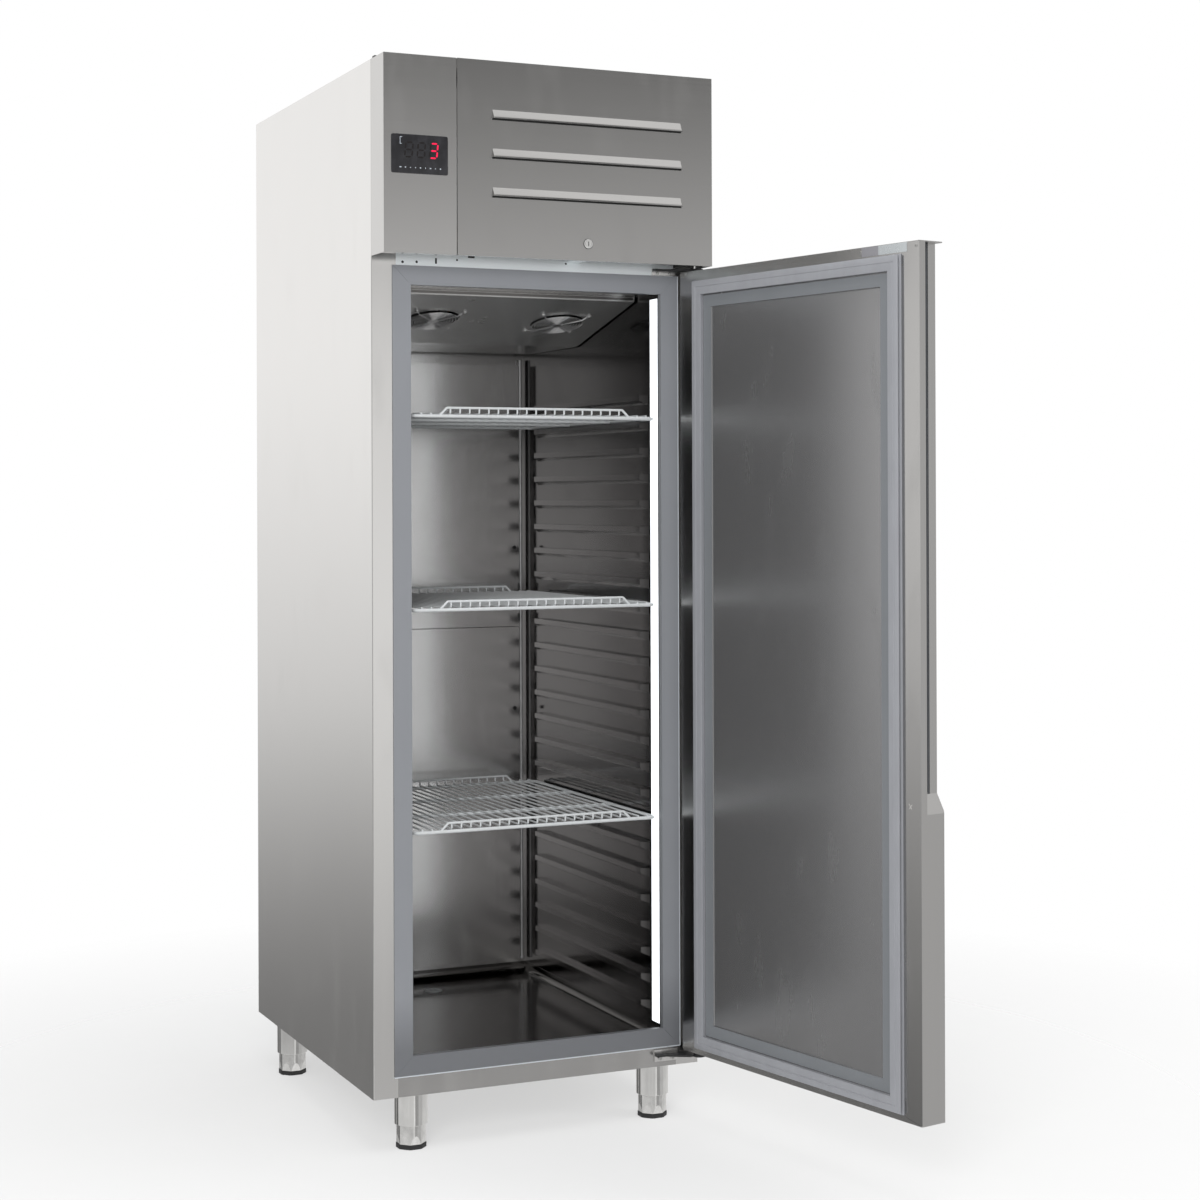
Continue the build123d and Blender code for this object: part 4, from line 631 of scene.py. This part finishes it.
class REFRIGERATOR_OT_display(bpy.types.Operator):
    """Adds the digits and the row of small marks on the display"""

    bl_idname = "refrigerator.display"
    bl_label = "Display digits and marks"

    # Places on the lens, as shares of its width or height
    digit_base = 0.424
    digit_places = (0.235, 0.454, 0.673)
    shown = ("", "", "abcdg")
    mark_count = 9
    first_mark = 0.16
    mark_pitch = 0.088
    mark_line = 0.155
    tick_corner = (0.15, 0.93)
    # Bars beside the digits: left, right, bottom and top from that corner, in millimetres
    tick_bars = ((0.0, 1.0, -14.0, 0.0), (1.0, 4.5, -1.2, 0.0), (1.0, 3.6, -14.0, -12.8))
    # How far the marks stand off the lens, and how thick they are, in millimetres
    standoff = 0.15
    thickness = 0.1

    def execute(self, context):
        low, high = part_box("display_lens")
        settings = context.scene.refrigerator
        face = low.y - self.standoff * MM
        lit = lit_segment("segment_lit", (0.84, 0.008, 0.065), 1.0)
        dim = lit_segment("segment_dim", (0.014, 0.010, 0.011), 0.0)
        mark = lit_segment("display_mark", (0.55, 0.60, 0.66), 0.30)
        width = high.x - low.x
        height = high.z - low.z
        digit_low = low.z + height * self.digit_base
        depth = Vector((0, self.thickness * MM, 0))
        lit_mesh, dim_mesh = bmesh.new(), bmesh.new()
        for place, shown in zip(self.digit_places, self.shown):
            left = low.x + width * place
            for segment, outline in self.segments(settings.digit_height).items():
                points = [Vector((left + x, face, digit_low + z)) for x, z in outline]
                add_plate(lit_mesh if segment in shown else dim_mesh, points, depth)
        new_piece("display_digit_lit", "cabinet", lit, lit_mesh)
        new_piece("display_digits_dim", "cabinet", dim, dim_mesh)
        mark_mesh = bmesh.new()
        for i in range(self.mark_count):
            x = low.x + width * (self.first_mark + self.mark_pitch * i)
            self.mark(mark_mesh, i, Vector((x, face, low.z + height * self.mark_line)), depth)
        across, up = self.tick_corner
        left, top = low.x + width * across, low.z + height * up
        for x0, x1, z0, z1 in self.tick_bars:
            low_corner = (left + x0 * MM, face, top + z0 * MM)
            add_block(mark_mesh, low_corner, (left + x1 * MM, face + depth.y, top + z1 * MM))
        new_piece("display_marks", "cabinet", mark, mark_mesh)
        return {"FINISHED"}

    def segments(self, height):
        """The seven segments of one slanted digit as outlines of (x, z) points."""
        width, bar, slant = height * 0.52, height * 0.11, 0.10
        half = height / 2

        def level(z):
            low, high = z - bar / 2, z + bar / 2
            upper = [(bar * 0.5, z), (bar, high), (width - bar, high)]
            return upper + [(width - bar * 0.5, z), (width - bar, low), (bar, low)]

        def upright(x, z0, z1):
            left, right = x - bar / 2, x + bar / 2
            upward = [(x, z0 + bar * 0.5), (left, z0 + bar), (left, z1 - bar)]
            return upward + [(x, z1 - bar * 0.5), (right, z1 - bar), (right, z0 + bar)]

        shapes = {
            "a": level(height),
            "g": level(half),
            "d": level(0.0),
            "f": upright(0.0, half, height),
            "b": upright(width, half, height),
            "e": upright(0.0, 0.0, half),
            "c": upright(width, 0.0, half),
        }
        return {key: [(x + z * slant, z) for x, z in points] for key, points in shapes.items()}

    def mark(self, mesh, index, centre, depth):
        """One small plain mark: a bar, a dot, a triangle, a square or a hexagon, in turn."""
        size = 1.5 * MM
        sides = (4, 12, 3, 4, 6, 12, 4, 3, 12)[index]
        stretch = (1.9, 0.8, 1.2, 0.7, 1.1, 0.5, 1.5, 1.0, 0.9)[index]
        outline = []
        for k in range(sides):
            angle = -2 * math.pi * (k + 0.5) / sides
            across, up = math.cos(angle) * size * stretch, math.sin(angle) * size
            outline.append(centre + Vector((across, 0.0, up)))
        add_plate(mesh, outline, depth)


class REFRIGERATOR_OT_gasket(bpy.types.Operator):
    """Replaces the plain gasket with its moulded profile of base, bellows and magnet head"""

    bl_idname = "refrigerator.gasket"
    bl_label = "Door gasket"

    outer_half = 304.0
    bottom = 156.0
    top = 1709.0
    base_y = -12.0

    def profile(self):
        """Points across the gasket: distance in from its outer edge, and height, in millimetres."""
        return [
            (0.4, 0.0), (0.0, 0.8), (0.4, 2.0), (2.0, 2.8), (5.4, 3.0), (6.6, 3.6), (6.2, 4.6),
            (4.6, 5.6), (2.6, 6.2), (2.1, 7.2), (2.6, 8.4), (4.0, 8.95), (13.2, 9.0), (14.0, 8.2),
            (15.4, 8.2), (16.2, 9.0), (27.6, 8.95), (29.4, 8.4), (29.9, 7.2), (29.6, 5.2),
            (29.2, 2.6), (29.2, 0.0),
        ]

    def execute(self, context):
        mesh = bmesh.new()
        rings = []
        for x_sign, high in ((-1, False), (1, False), (1, True), (-1, True)):
            ring = []
            for inset, height in self.profile():
                x = x_sign * (self.outer_half - inset)
                z = self.top - inset if high else self.bottom + inset
                ring.append(mesh.verts.new(door_place(x, self.base_y + height, z)))
            rings.append(ring)
        for i in range(4):
            bridge(mesh, rings[i], rings[(i + 1) % 4])
        bmesh.ops.recalc_face_normals(mesh, faces=mesh.faces)
        rubber = finishes()["gasket_rubber"]
        piece = new_piece("door_gasket_profile", "door", rubber, mesh, 40)
        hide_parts("door_gasket")
        return {"FINISHED"}


class REFRIGERATOR_OT_front_details(bpy.types.Operator):
    """Adds painted shade in the rail's holes and on the cover's lip, the frame's sealant and corner
    trims
    """

    bl_idname = "refrigerator.front_details"
    bl_label = "Rail holes, sealant and corner trims"

    # In millimetres, first each hole's distance from the rail's left end, its rise above the frame,
    # and its radius or its width and height
    holes = ((14.0, 6.5, 2.6), (43.0, 7.5, 2.6), (127.0, 14.5, 2.2), (360.0, 16.5, 2.2))
    slots = ((81.0, 5.5, 4.0, 11.0), (150.0, 19.5, 14.0, 4.0))
    # Depths of the black plates of painted shade in the holes, in millimetres
    shade_near = 0.12
    shade_far = 0.32
    bead_radius = 1.5
    bead_sink = 0.4
    lip_height = 5.6
    lip_inset = 3.0
    trim_radius = 4.5
    trim_gap = 11.0
    trim_lead = 4.6

    def execute(self, context):
        self.hole_shade_plates()
        self.frame_sealant()
        self.cover_lip()
        self.corner_trims()
        return {"FINISHED"}

    def hole_shade_plates(self):
        """Black plates in the front rail's holes and slots, as painted shade."""
        left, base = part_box("front_rail")[0].x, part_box("breaker_frame")[1].z
        near, far = self.shade_near * MM, self.shade_far * MM
        shade_plates = bmesh.new()
        for inset, rise, radius in self.holes:
            centre = Vector((left + inset * MM, near, base + rise * MM))
            disc = front_circle(centre, radius * MM, 24, -1)
            add_plate(shade_plates, disc, Vector((0, far - near, 0)))
        for inset, rise, width, height in self.slots:
            x, z = left + inset * MM, base + rise * MM
            add_block(shade_plates, (x, near, z), (x + width * MM, far, z + height * MM))
        black = finishes()["black_plastic"]
        new_piece("rail_hole_shade_plates", "cabinet", black, shade_plates)

    def frame_sealant(self):
        """A bead of sealant along the foot and the right side of the door frame."""
        low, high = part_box("breaker_frame")
        radius, y = self.bead_radius * MM, -self.bead_sink * MM
        path = [
            Vector((low.x, y, low.z - radius)),
            Vector((high.x + radius, y, low.z - radius)),
            Vector((high.x + radius, y, high.z)),
        ]
        bead = bmesh.new()
        add_tube(bead, path[:2], radius, 10)
        add_tube(bead, path[1:], radius, 10)
        sealant = moulded_plastic("sealant", (0.66, 0.70, 0.74), 0.35, 0.05, 0.5, 120.0)
        new_piece("frame_sealant", "cabinet", sealant, bead, 60)

    def cover_lip(self):
        """A dark band of painted shade along the top of the evaporator cover's front."""
        low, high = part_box("evaporator_cover")
        inset, top = self.lip_inset * MM, high.z - 0.4 * MM
        start = (low.x + inset, low.y - 0.4 * MM, top - self.lip_height * MM)
        lip = bmesh.new()
        add_block(lip, start, (high.x - inset, low.y - 0.1 * MM, top))
        dullness_and_painted_shade = brushed_sheet("lip_shade", (0.20, 0.195, 0.19), 0.22, LEVEL)
        new_piece("cover_lip_shade", "cabinet", dullness_and_painted_shade, lip)

    def corner_trims(self):
        """A round trim up each rear corner of the liner, beside the air duct's plates."""
        low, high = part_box("duct_plate_lower")
        foot, top = low.z - 6 * MM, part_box("duct_plate_upper")[1].z + 14 * MM
        y = high.y - self.trim_lead * MM
        trims = bmesh.new()
        for side in (-1, 1):
            x = side * (high.x + self.trim_gap * MM)
            add_tube(trims, [Vector((x, y, foot)), Vector((x, y, top))], self.trim_radius * MM, 16)
        grain = (200.0, 200.0, 4.0)
        polished = bright_metal("corner_trim", (0.92, 0.92, 0.93), 0.22, grain, 0.05, 0.7)
        new_piece("liner_corner_trims", "cabinet", polished, trims, 60)


class REFRIGERATOR_OT_door_details(bpy.types.Operator):
    """Adds the corner plate, screws, mitre seam and small scuff of the door's inner border"""

    bl_idname = "refrigerator.door_details"
    bl_label = "Door border details"

    # Places on the shut door, in millimetres
    face = -12.0
    plate_foot = 1711.5
    plate_height = 17.2
    # Each screw: place across and up, the radius of its head and half the length of its slot
    screws = ((-196.0, 1720.5, 2.6, 1.1), (-342.0, 1720.5, 2.8, 1.2))
    seam = ((-306.5, 154.5), (-348.8, 145.3))
    scuffs = (((-326.0, 709.0), (-318.0, 719.0)), ((-326.5, 718.0), (-319.0, 710.0)))
    dome_sides = 20

    def execute(self, context):
        for name, start, end, colour in (
            ("door_corner_plate", -318.0, -243.0, (0.66, 0.70, 0.72)),
            ("door_corner_tab", -242.8, -198.0, (0.42, 0.42, 0.45)),
        ):
            plate = bmesh.new()
            ends = (start, self.plate_foot), (end, self.plate_foot)
            self.strip(plate, *ends, self.plate_height, 0.5, 0.0)
            tone = brushed_sheet(name, colour, 0.26, LEVEL, metal=0.6)
            new_piece(name, "door", tone, plate)
        heads, marks = bmesh.new(), bmesh.new()
        self.strip(marks, *self.seam, 0.7, 0.12, -0.35)
        for x, z, radius, slot in self.screws:
            self.dome(heads, x, z, radius)
            self.strip(marks, (x - slot, z), (x + slot, z), 0.7, 1.62, -0.35)
        steel = finishes()["bright_steel"]
        new_piece("door_border_screws", "door", steel, heads, 50)
        dark = moulded_plastic("seam_shadow", (0.05, 0.048, 0.046), 0.6, 0.2)
        new_piece("door_border_seams", "door", dark, marks)
        scuff = bmesh.new()
        for ends in self.scuffs:
            self.strip(scuff, *ends, 0.8, 0.1, -0.4)
        pale = moulded_plastic("scuff_mark", (0.62, 0.60, 0.58), 0.5, 0.2)
        new_piece("door_border_scuff", "door", pale, scuff)
        return {"FINISHED"}

    def strip(self, mesh, start, end, width, proud, shift):
        """A thin straight strip proud of the border, from one (x, z) point to another."""
        along = Vector((end[0] - start[0], end[1] - start[1])).normalized()
        across = Vector((-along.y, along.x)) * width
        base = Vector((-along.y, along.x)) * shift
        corners = [Vector(start) + base, Vector(end) + base]
        corners += [corners[1] + across, corners[0] + across]
        outline = [door_place(c.x, self.face, c.y) for c in corners]
        add_plate(mesh, outline, door_place(0, proud, 0) - door_place(0, 0, 0))

    def dome(self, mesh, x, z, radius):
        """A low pan head: rings that shrink towards its top."""
        rings = []
        for share, height in ((1.0, 0.0), (1.0, 0.5), (0.86, 1.1), (0.6, 1.45), (0.3, 1.55)):
            centre = Vector((x, self.face + height, z))
            spots = front_circle(centre, radius * share, self.dome_sides)
            rings.append([mesh.verts.new(door_place(*spot)) for spot in spots])
        for first, second in zip(rings, rings[1:]):
            bridge(mesh, first, second)
        mesh.faces.new(rings[0])
        mesh.faces.new(list(reversed(rings[-1])))


class REFRIGERATOR_OT_hood_faces(bpy.types.Operator):
    """Adds the rounded drawn faces of the air hoods, and painted shade in their slots and round the
    lock
    """

    bl_idname = "refrigerator.hood_faces"
    bl_label = "Air hood faces"

    # In millimetres: gaps to the panel's ends, rises of the lips, and a drawn face's own sizes
    left_gap = 72.2
    right_gap = 70.0
    rises = (117.5, 193.0, 268.5)
    height = 17.0
    plane = -78.0
    reach = 8.4
    # Round ends: distance from the end, share of the full depth there, and drop of the top edge
    insets = (
        (0.0, 0.12, 2.6), (0.3, 0.55, 1.5), (0.9, 0.84, 0.7), (1.8, 0.97, 0.2), (3.0, 1.0, 0.0),
    )
    lip_rise = 3.4
    lip_share = 0.96
    lock_joint_radius = 9.7
    lock_joint_cord = 0.7

    def execute(self, context):
        low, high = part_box("service_panel")
        left, right = low.x / MM + self.left_gap, high.x / MM - self.right_gap
        deep, proud, back = self.plane - self.reach + 0.1, self.plane - 0.2, self.plane - 0.05
        faces, shade = bmesh.new(), bmesh.new()
        for rise in self.rises:
            z = low.z / MM + rise
            self.face(faces, left, right, z)
            # Black plates as painted shade: in the slot's mouth, on the panel below the lip and
            # beside its right end
            slot = ((left + 0.2, deep, z - 0.25), (right - 0.2, back, z + 0.1))
            below = ((left - 0.6, proud, z - 2.8), (right + 0.9, back, z))
            beside = ((right + 0.1, proud, z), (right + 1.3, back, z + 9.0))
            for start, end in (slot, below, beside):
                add_block(shade, [v * MM for v in start], [v * MM for v in end])
        self.lock_shade(shade)
        made = finishes()
        new_piece("hood_faces", "service_panel", made["fascia_sheet"], faces, 40)
        new_piece("hood_slot_shade", "service_panel", made["black_rubber"], shade)
        return {"FINISHED"}

    def lock_shade(self, mesh):
        """Painted shade at the joint between the lock's head and the panel: a thin dark ring."""
        centre = Vector(JOINT["lock_turn"]["pos_m"])
        centre.y = (self.plane - 0.25) * MM
        ring = front_circle(centre, self.lock_joint_radius * MM, 40)
        add_tube(mesh, ring, self.lock_joint_cord * MM, 8, True)

    def face(self, mesh, left, right, z):
        """One drawn face: full depth at its lip, none at its top, and round at both ends."""
        columns = [(left + inset, depth, drop) for inset, depth, drop in self.insets]
        columns += [(right - inset, depth, drop) for inset, depth, drop in reversed(self.insets)]
        grid = []
        for x, depth, drop in columns:
            top = self.height - drop
            points = [(0.0, 1.0), (2.6, 1.0), (self.lip_rise, self.lip_share)]
            for t in (0.3, 0.6, 0.85, 1.0):
                rise = self.lip_rise + (top - self.lip_rise) * t
                points.append((rise, self.lip_share - 0.88 * t))
            column = []
            for rise, share in points:
                y = self.plane - self.reach * share * depth
                column.append(mesh.verts.new((x * MM, y * MM, (z + rise) * MM)))
            column.append(mesh.verts.new((x * MM, (self.plane + 0.1) * MM, (z + top) * MM)))
            column.insert(0, mesh.verts.new((x * MM, (self.plane + 0.1) * MM, z * MM)))
            grid.append(column)
        for first, second in zip(grid, grid[1:]):
            bridge(mesh, first, second)
        mesh.faces.new(grid[0])
        mesh.faces.new(list(reversed(grid[-1])))


class REFRIGERATOR_OT_fan_guards(bpy.types.Operator):
    """Replaces the plain fan guards with round chromed wire"""

    bl_idname = "refrigerator.fan_guards"
    bl_label = "Fan guards"

    # In millimetres; heights run along the fan's axis from its joint
    wire = 1.15
    ring_wire = 0.92
    ring_count = 8
    ring_largest = 54.5
    ring_pitch = 5.9
    spoke_height = -6.4
    ring_height = -4.8
    hub = 9.0
    hub_disc = 10.5
    hole = 57.0
    screw_pitch = 105.0
    eye_radius = 4.9
    eye_height = -1.6

    def execute(self, context):
        mesh = bmesh.new()
        for name in ("evaporator_fan_left_spin", "evaporator_fan_right_spin"):
            self.guard(mesh, JOINT[name])
        piece = new_piece(
            "fan_guard_wires", "cabinet", finishes()["chromed_wire"], mesh, 50
        )
        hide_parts("evaporator_fan_guards")
        return {"FINISHED"}

    def guard(self, mesh, joint):
        """One guard: rings on four spokes, an eye at the end of each spoke, and two hub discs."""
        origin = Vector(joint["pos_m"])
        axis = Vector(joint["axis"]).normalized()
        across = Vector((1, 0, 0))
        along = axis.cross(across)

        def flat(angle):
            return across * math.cos(angle) + along * math.sin(angle)

        def at(radius, angle, height):
            return origin + flat(angle) * (radius * MM) + axis * (height * MM)

        def turns(count):
            return (2 * math.pi * k / count for k in range(count))

        for i in range(self.ring_count):
            radius = self.ring_largest - i * self.ring_pitch
            ring = [at(radius, angle, self.ring_height) for angle in turns(64)]
            add_tube(mesh, ring, self.ring_wire * MM, 8, True)
        reach = self.screw_pitch / math.sqrt(2)
        for i in range(4):
            angle = math.radians(45 + 90 * i)
            radii = (self.hub, self.hole * 0.55, self.hole)
            route = [(radius, self.spoke_height) for radius in radii]
            route += [(self.hole + 9, -3.4), (reach - 5, -1.7)]
            points = [at(radius, angle, height) for radius, height in route]
            add_tube(mesh, points, self.wire * MM, 8)
            eye = at(reach, angle, self.eye_height)
            loop = [eye + flat(turn) * (self.eye_radius * MM) for turn in turns(20)]
            add_tube(mesh, loop, self.wire * MM, 8, True)
        for height in (self.spoke_height - 0.4, self.spoke_height + 0.9):
            disc = [at(self.hub_disc, -angle, height) for angle in turns(40)]
            add_plate(mesh, disc, axis * 0.8 * MM)


# Pale screens round the object, as metal sees them: first and last bearing from the back,
# clockwise in degrees, with the width of the soft edge, and how bright each is at some heights.
SCREENS = (
    (
        (-34.0, -8.0, 9.0),
        (
            (-0.30, 0.45), (-0.275, 0.15), (-0.22, 0.18), (-0.177, 0.30), (-0.13, 0.50),
            (-0.09, 0.70), (-0.045, 0.80), (0.0, 0.90), (0.06, 1.0),
        ),
    ),
    (
        (-60.0, -45.0, 5.0),
        ((-0.30, 0.08), (-0.24, 0.16), (-0.13, 0.46), (-0.03, 0.90), (0.1, 0.86)),
    ),
    (
        (120.0, 142.0, 8.0),
        ((-0.3, 0.50), (0.0, 0.57), (0.15, 0.52)),
    ),
    (
        (150.0, 168.0, 7.0),
        (
            (-0.31, 0.85), (-0.28, 0.24), (-0.255, 0.24), (-0.20, 0.46), (-0.12, 0.82),
            (-0.02, 0.94), (0.085, 0.83), (0.135, 0.58), (0.17, 0.17), (0.24, 0.10),
        ),
    ),
    (
        (173.0, 178.0, 3.0),
        ((-0.34, 0.95), (-0.22, 0.95), (-0.15, 0.5)),
    ),
)


class REFRIGERATOR_OT_stage(bpy.types.Operator):
    """Adds the floor, the plain surroundings, the lamps and the camera"""

    bl_idname = "refrigerator.stage"
    bl_label = "Studio"

    rays = ("Camera", "Glossy", "Transmission")
    floor_radius = 2.4
    # Distances from the object, in metres, between which the floor fades out
    floor_fade = (0.7, 2.2)

    def execute(self, context):
        self.floor()
        self.surroundings(context.scene.refrigerator.ambient)
        self.lamps(context.scene.refrigerator.key_power)
        self.camera()
        context.scene.view_settings.view_transform = "Standard"
        return {"FINISHED"}

    def floor(self):
        """A pale floor that fades into the surroundings away from the object."""

        @finish
        def surface(tree):
            where = tree.node("ShaderNodeTexCoord", output="Object")
            length = tree.node("ShaderNodeVectorMath", {"operation": "LENGTH"}, {0: where}, "Value")
            fade = tree.span(length, *self.floor_fade, 0.0, 1.0)
            dust = tree.noise((3.0, 3.0, 3.0), 1.0, 3.0, 0.5)
            shade = tree.mix(dust, (0.86, 0.86, 0.86, 1.0), (0.90, 0.90, 0.90, 1.0))
            values = {"Base Color": shade, "Roughness": 0.9, "Specular IOR Level": 0.1}
            plain = tree.principled(values)
            clear = tree.node("ShaderNodeBsdfTransparent")
            seen = tree.node("ShaderNodeLightPath", output="Is Camera Ray")
            gone = fade + (1 - fade) * seen * 0.5
            return tree.node("ShaderNodeMixShader", {}, {0: gone, 1: plain, 2: clear})

        mesh = bpy.data.meshes.new("floor")
        data = bmesh.new()
        bmesh.ops.create_circle(data, cap_ends=True, radius=self.floor_radius, segments=96)
        data.to_mesh(mesh)
        data.free()
        floor = bpy.data.objects.new("floor", mesh)
        floor.location = (0.1, 0.2, -0.0004)
        bpy.context.scene.collection.objects.link(floor)
        mesh.materials.append(surface("floor"))
        floor.visible_glossy = False

    def surroundings(self, ambient):
        """White to the camera, even to matte surfaces, and a room of pale screens to metal."""
        world = bpy.data.worlds.new("surroundings")
        world.use_nodes = True
        bpy.context.scene.world = world
        tree = Tree(world.node_tree)

        def glow(colour, strength):
            values = {"Color": (*colour, 1.0), "Strength": strength}
            return tree.node("ShaderNodeBackground", {}, values)

        def blend(factor, first, second):
            return tree.node("ShaderNodeMixShader", {}, {0: factor, 1: first, 2: second})

        way = tree.node("ShaderNodeTexCoord", output="Generated")
        east, north, height = (
            tree.node("ShaderNodeSeparateXYZ", {}, {0: way}, i) for i in range(3)
        )
        radians = tree.node("ShaderNodeMath", {"operation": "ARCTAN2"}, {0: east, 1: north})
        bearing = radians * math.degrees(1.0)

        def sector(first, last, soft):
            rise = tree.span(bearing, first - soft, first, 0.0, 1.0)
            return rise * tree.span(bearing, last, last + soft, 1.0, 0.0)

        level = tree.steps(
            height,
            ((-0.4, 0.72), (-0.245, 0.70), (-0.215, 0.22), (0.0, 0.50), (0.2, 0.42), (0.35, 0.45)),
        )
        for bearings, screen in SCREENS:
            mask = sector(*bearings)
            level = level * (1 - mask) + tree.steps(height, screen) * mask
        overhead = tree.span(height, 0.38, 0.70, 0.0, 0.75)
        level = level + (1 - level) * overhead
        seen = blend(level, glow((0.0, 0.0, 0.0), 0.0), glow((1.0, 0.99, 0.98), 1.0))
        light = {
            name: tree.node("ShaderNodeLightPath", output=f"Is {name} Ray") for name in self.rays
        }
        soft = glow((1.0, 1.0, 1.0), ambient)
        lit = blend(light["Glossy"] + light["Transmission"], soft, seen)
        both = blend(light["Camera"], lit, glow((1.0, 1.0, 1.0), 1.0))
        tree.node("ShaderNodeOutputWorld", {}, {"Surface": both})

    def lamps(self, key_power):
        """A large key lamp at the front left, a top lamp and a low fill at the right."""
        for name, place, target, size, power in (
            ("key_lamp", (-2.4, -3.8, 2.3), (0.0, 0.3, 1.3), (1.8, 2.2), key_power),
            ("top_lamp", (0.3, -0.6, 4.2), (0.0, 0.2, 0.8), (3.0, 2.4), key_power * 0.4),
            ("side_lamp", (3.4, -2.4, 1.8), (0.2, 0.2, 1.0), (0.9, 2.4), key_power * 0.35),
        ):
            data = bpy.data.lights.new(name, "AREA")
            data.shape = "RECTANGLE"
            data.size, data.size_y = size
            data.energy = power
            lamp = bpy.data.objects.new(name, data)
            lamp.location = place
            lamp.visible_glossy = False
            aim = Vector(target) - Vector(place)
            lamp.rotation_euler = aim.to_track_quat("-Z", "Y").to_euler()
            bpy.context.scene.collection.objects.link(lamp)

    def camera(self):
        """The camera at the photograph's viewing angle."""
        yaw, pitch, roll = (math.radians(a) for a in (24.333, 0.149, -0.189))
        level = math.cos(pitch)
        ahead = Vector((math.sin(yaw) * level, math.cos(yaw) * level, math.sin(pitch)))
        right = Vector((math.cos(yaw), -math.sin(yaw), 0.0))
        up = right.cross(ahead)
        side = right * math.cos(roll) + up * math.sin(roll)
        top = up * math.cos(roll) - right * math.sin(roll)
        data = bpy.data.cameras.new("photograph_camera")
        data.sensor_width = 36.0
        data.sensor_fit = "HORIZONTAL"
        data.lens = 66.65
        data.shift_x = -0.0043
        data.shift_y = -0.0898
        data.clip_end = 100.0
        camera = bpy.data.objects.new("photograph_camera", data)
        turn = Matrix((side, top, -ahead)).transposed().to_4x4()
        camera.matrix_world = Matrix.Translation((-1.709, -4.100, 1.270)) @ turn
        bpy.context.scene.collection.objects.link(camera)
        bpy.context.scene.camera = camera


class REFRIGERATOR_PT_panel(bpy.types.Panel):
    """Lists the refrigerator's settings and steps"""

    bl_idname = "REFRIGERATOR_PT_panel"
    bl_label = "Refrigerator"
    bl_space_type = "VIEW_3D"
    bl_region_type = "UI"
    bl_category = "Refrigerator"

    def draw(self, context):
        settings = context.scene.refrigerator
        for name in RefrigeratorSettings.__annotations__:
            self.layout.prop(settings, name)
        for operator in OPERATORS:
            self.layout.operator(operator.bl_idname)


OPERATORS = (
    REFRIGERATOR_OT_finish_nodes,
    REFRIGERATOR_OT_display,
    REFRIGERATOR_OT_gasket,
    REFRIGERATOR_OT_front_details,
    REFRIGERATOR_OT_door_details,
    REFRIGERATOR_OT_hood_faces,
    REFRIGERATOR_OT_fan_guards,
    REFRIGERATOR_OT_stage,
)
CLASSES = (RefrigeratorSettings, *OPERATORS, REFRIGERATOR_PT_panel)


def register():
    for item in CLASSES:
        bpy.utils.register_class(item)
    bpy.types.Scene.refrigerator = bpy.props.PointerProperty(type=RefrigeratorSettings)


def unregister():
    del bpy.types.Scene.refrigerator
    for item in reversed(CLASSES):
        bpy.utils.unregister_class(item)


def main():
    """Registers the add-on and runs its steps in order."""
    register()
    for operator in OPERATORS:
        group, name = operator.bl_idname.split(".")
        getattr(getattr(bpy.ops, group), name)()


if __name__ == "__main__":
    main()
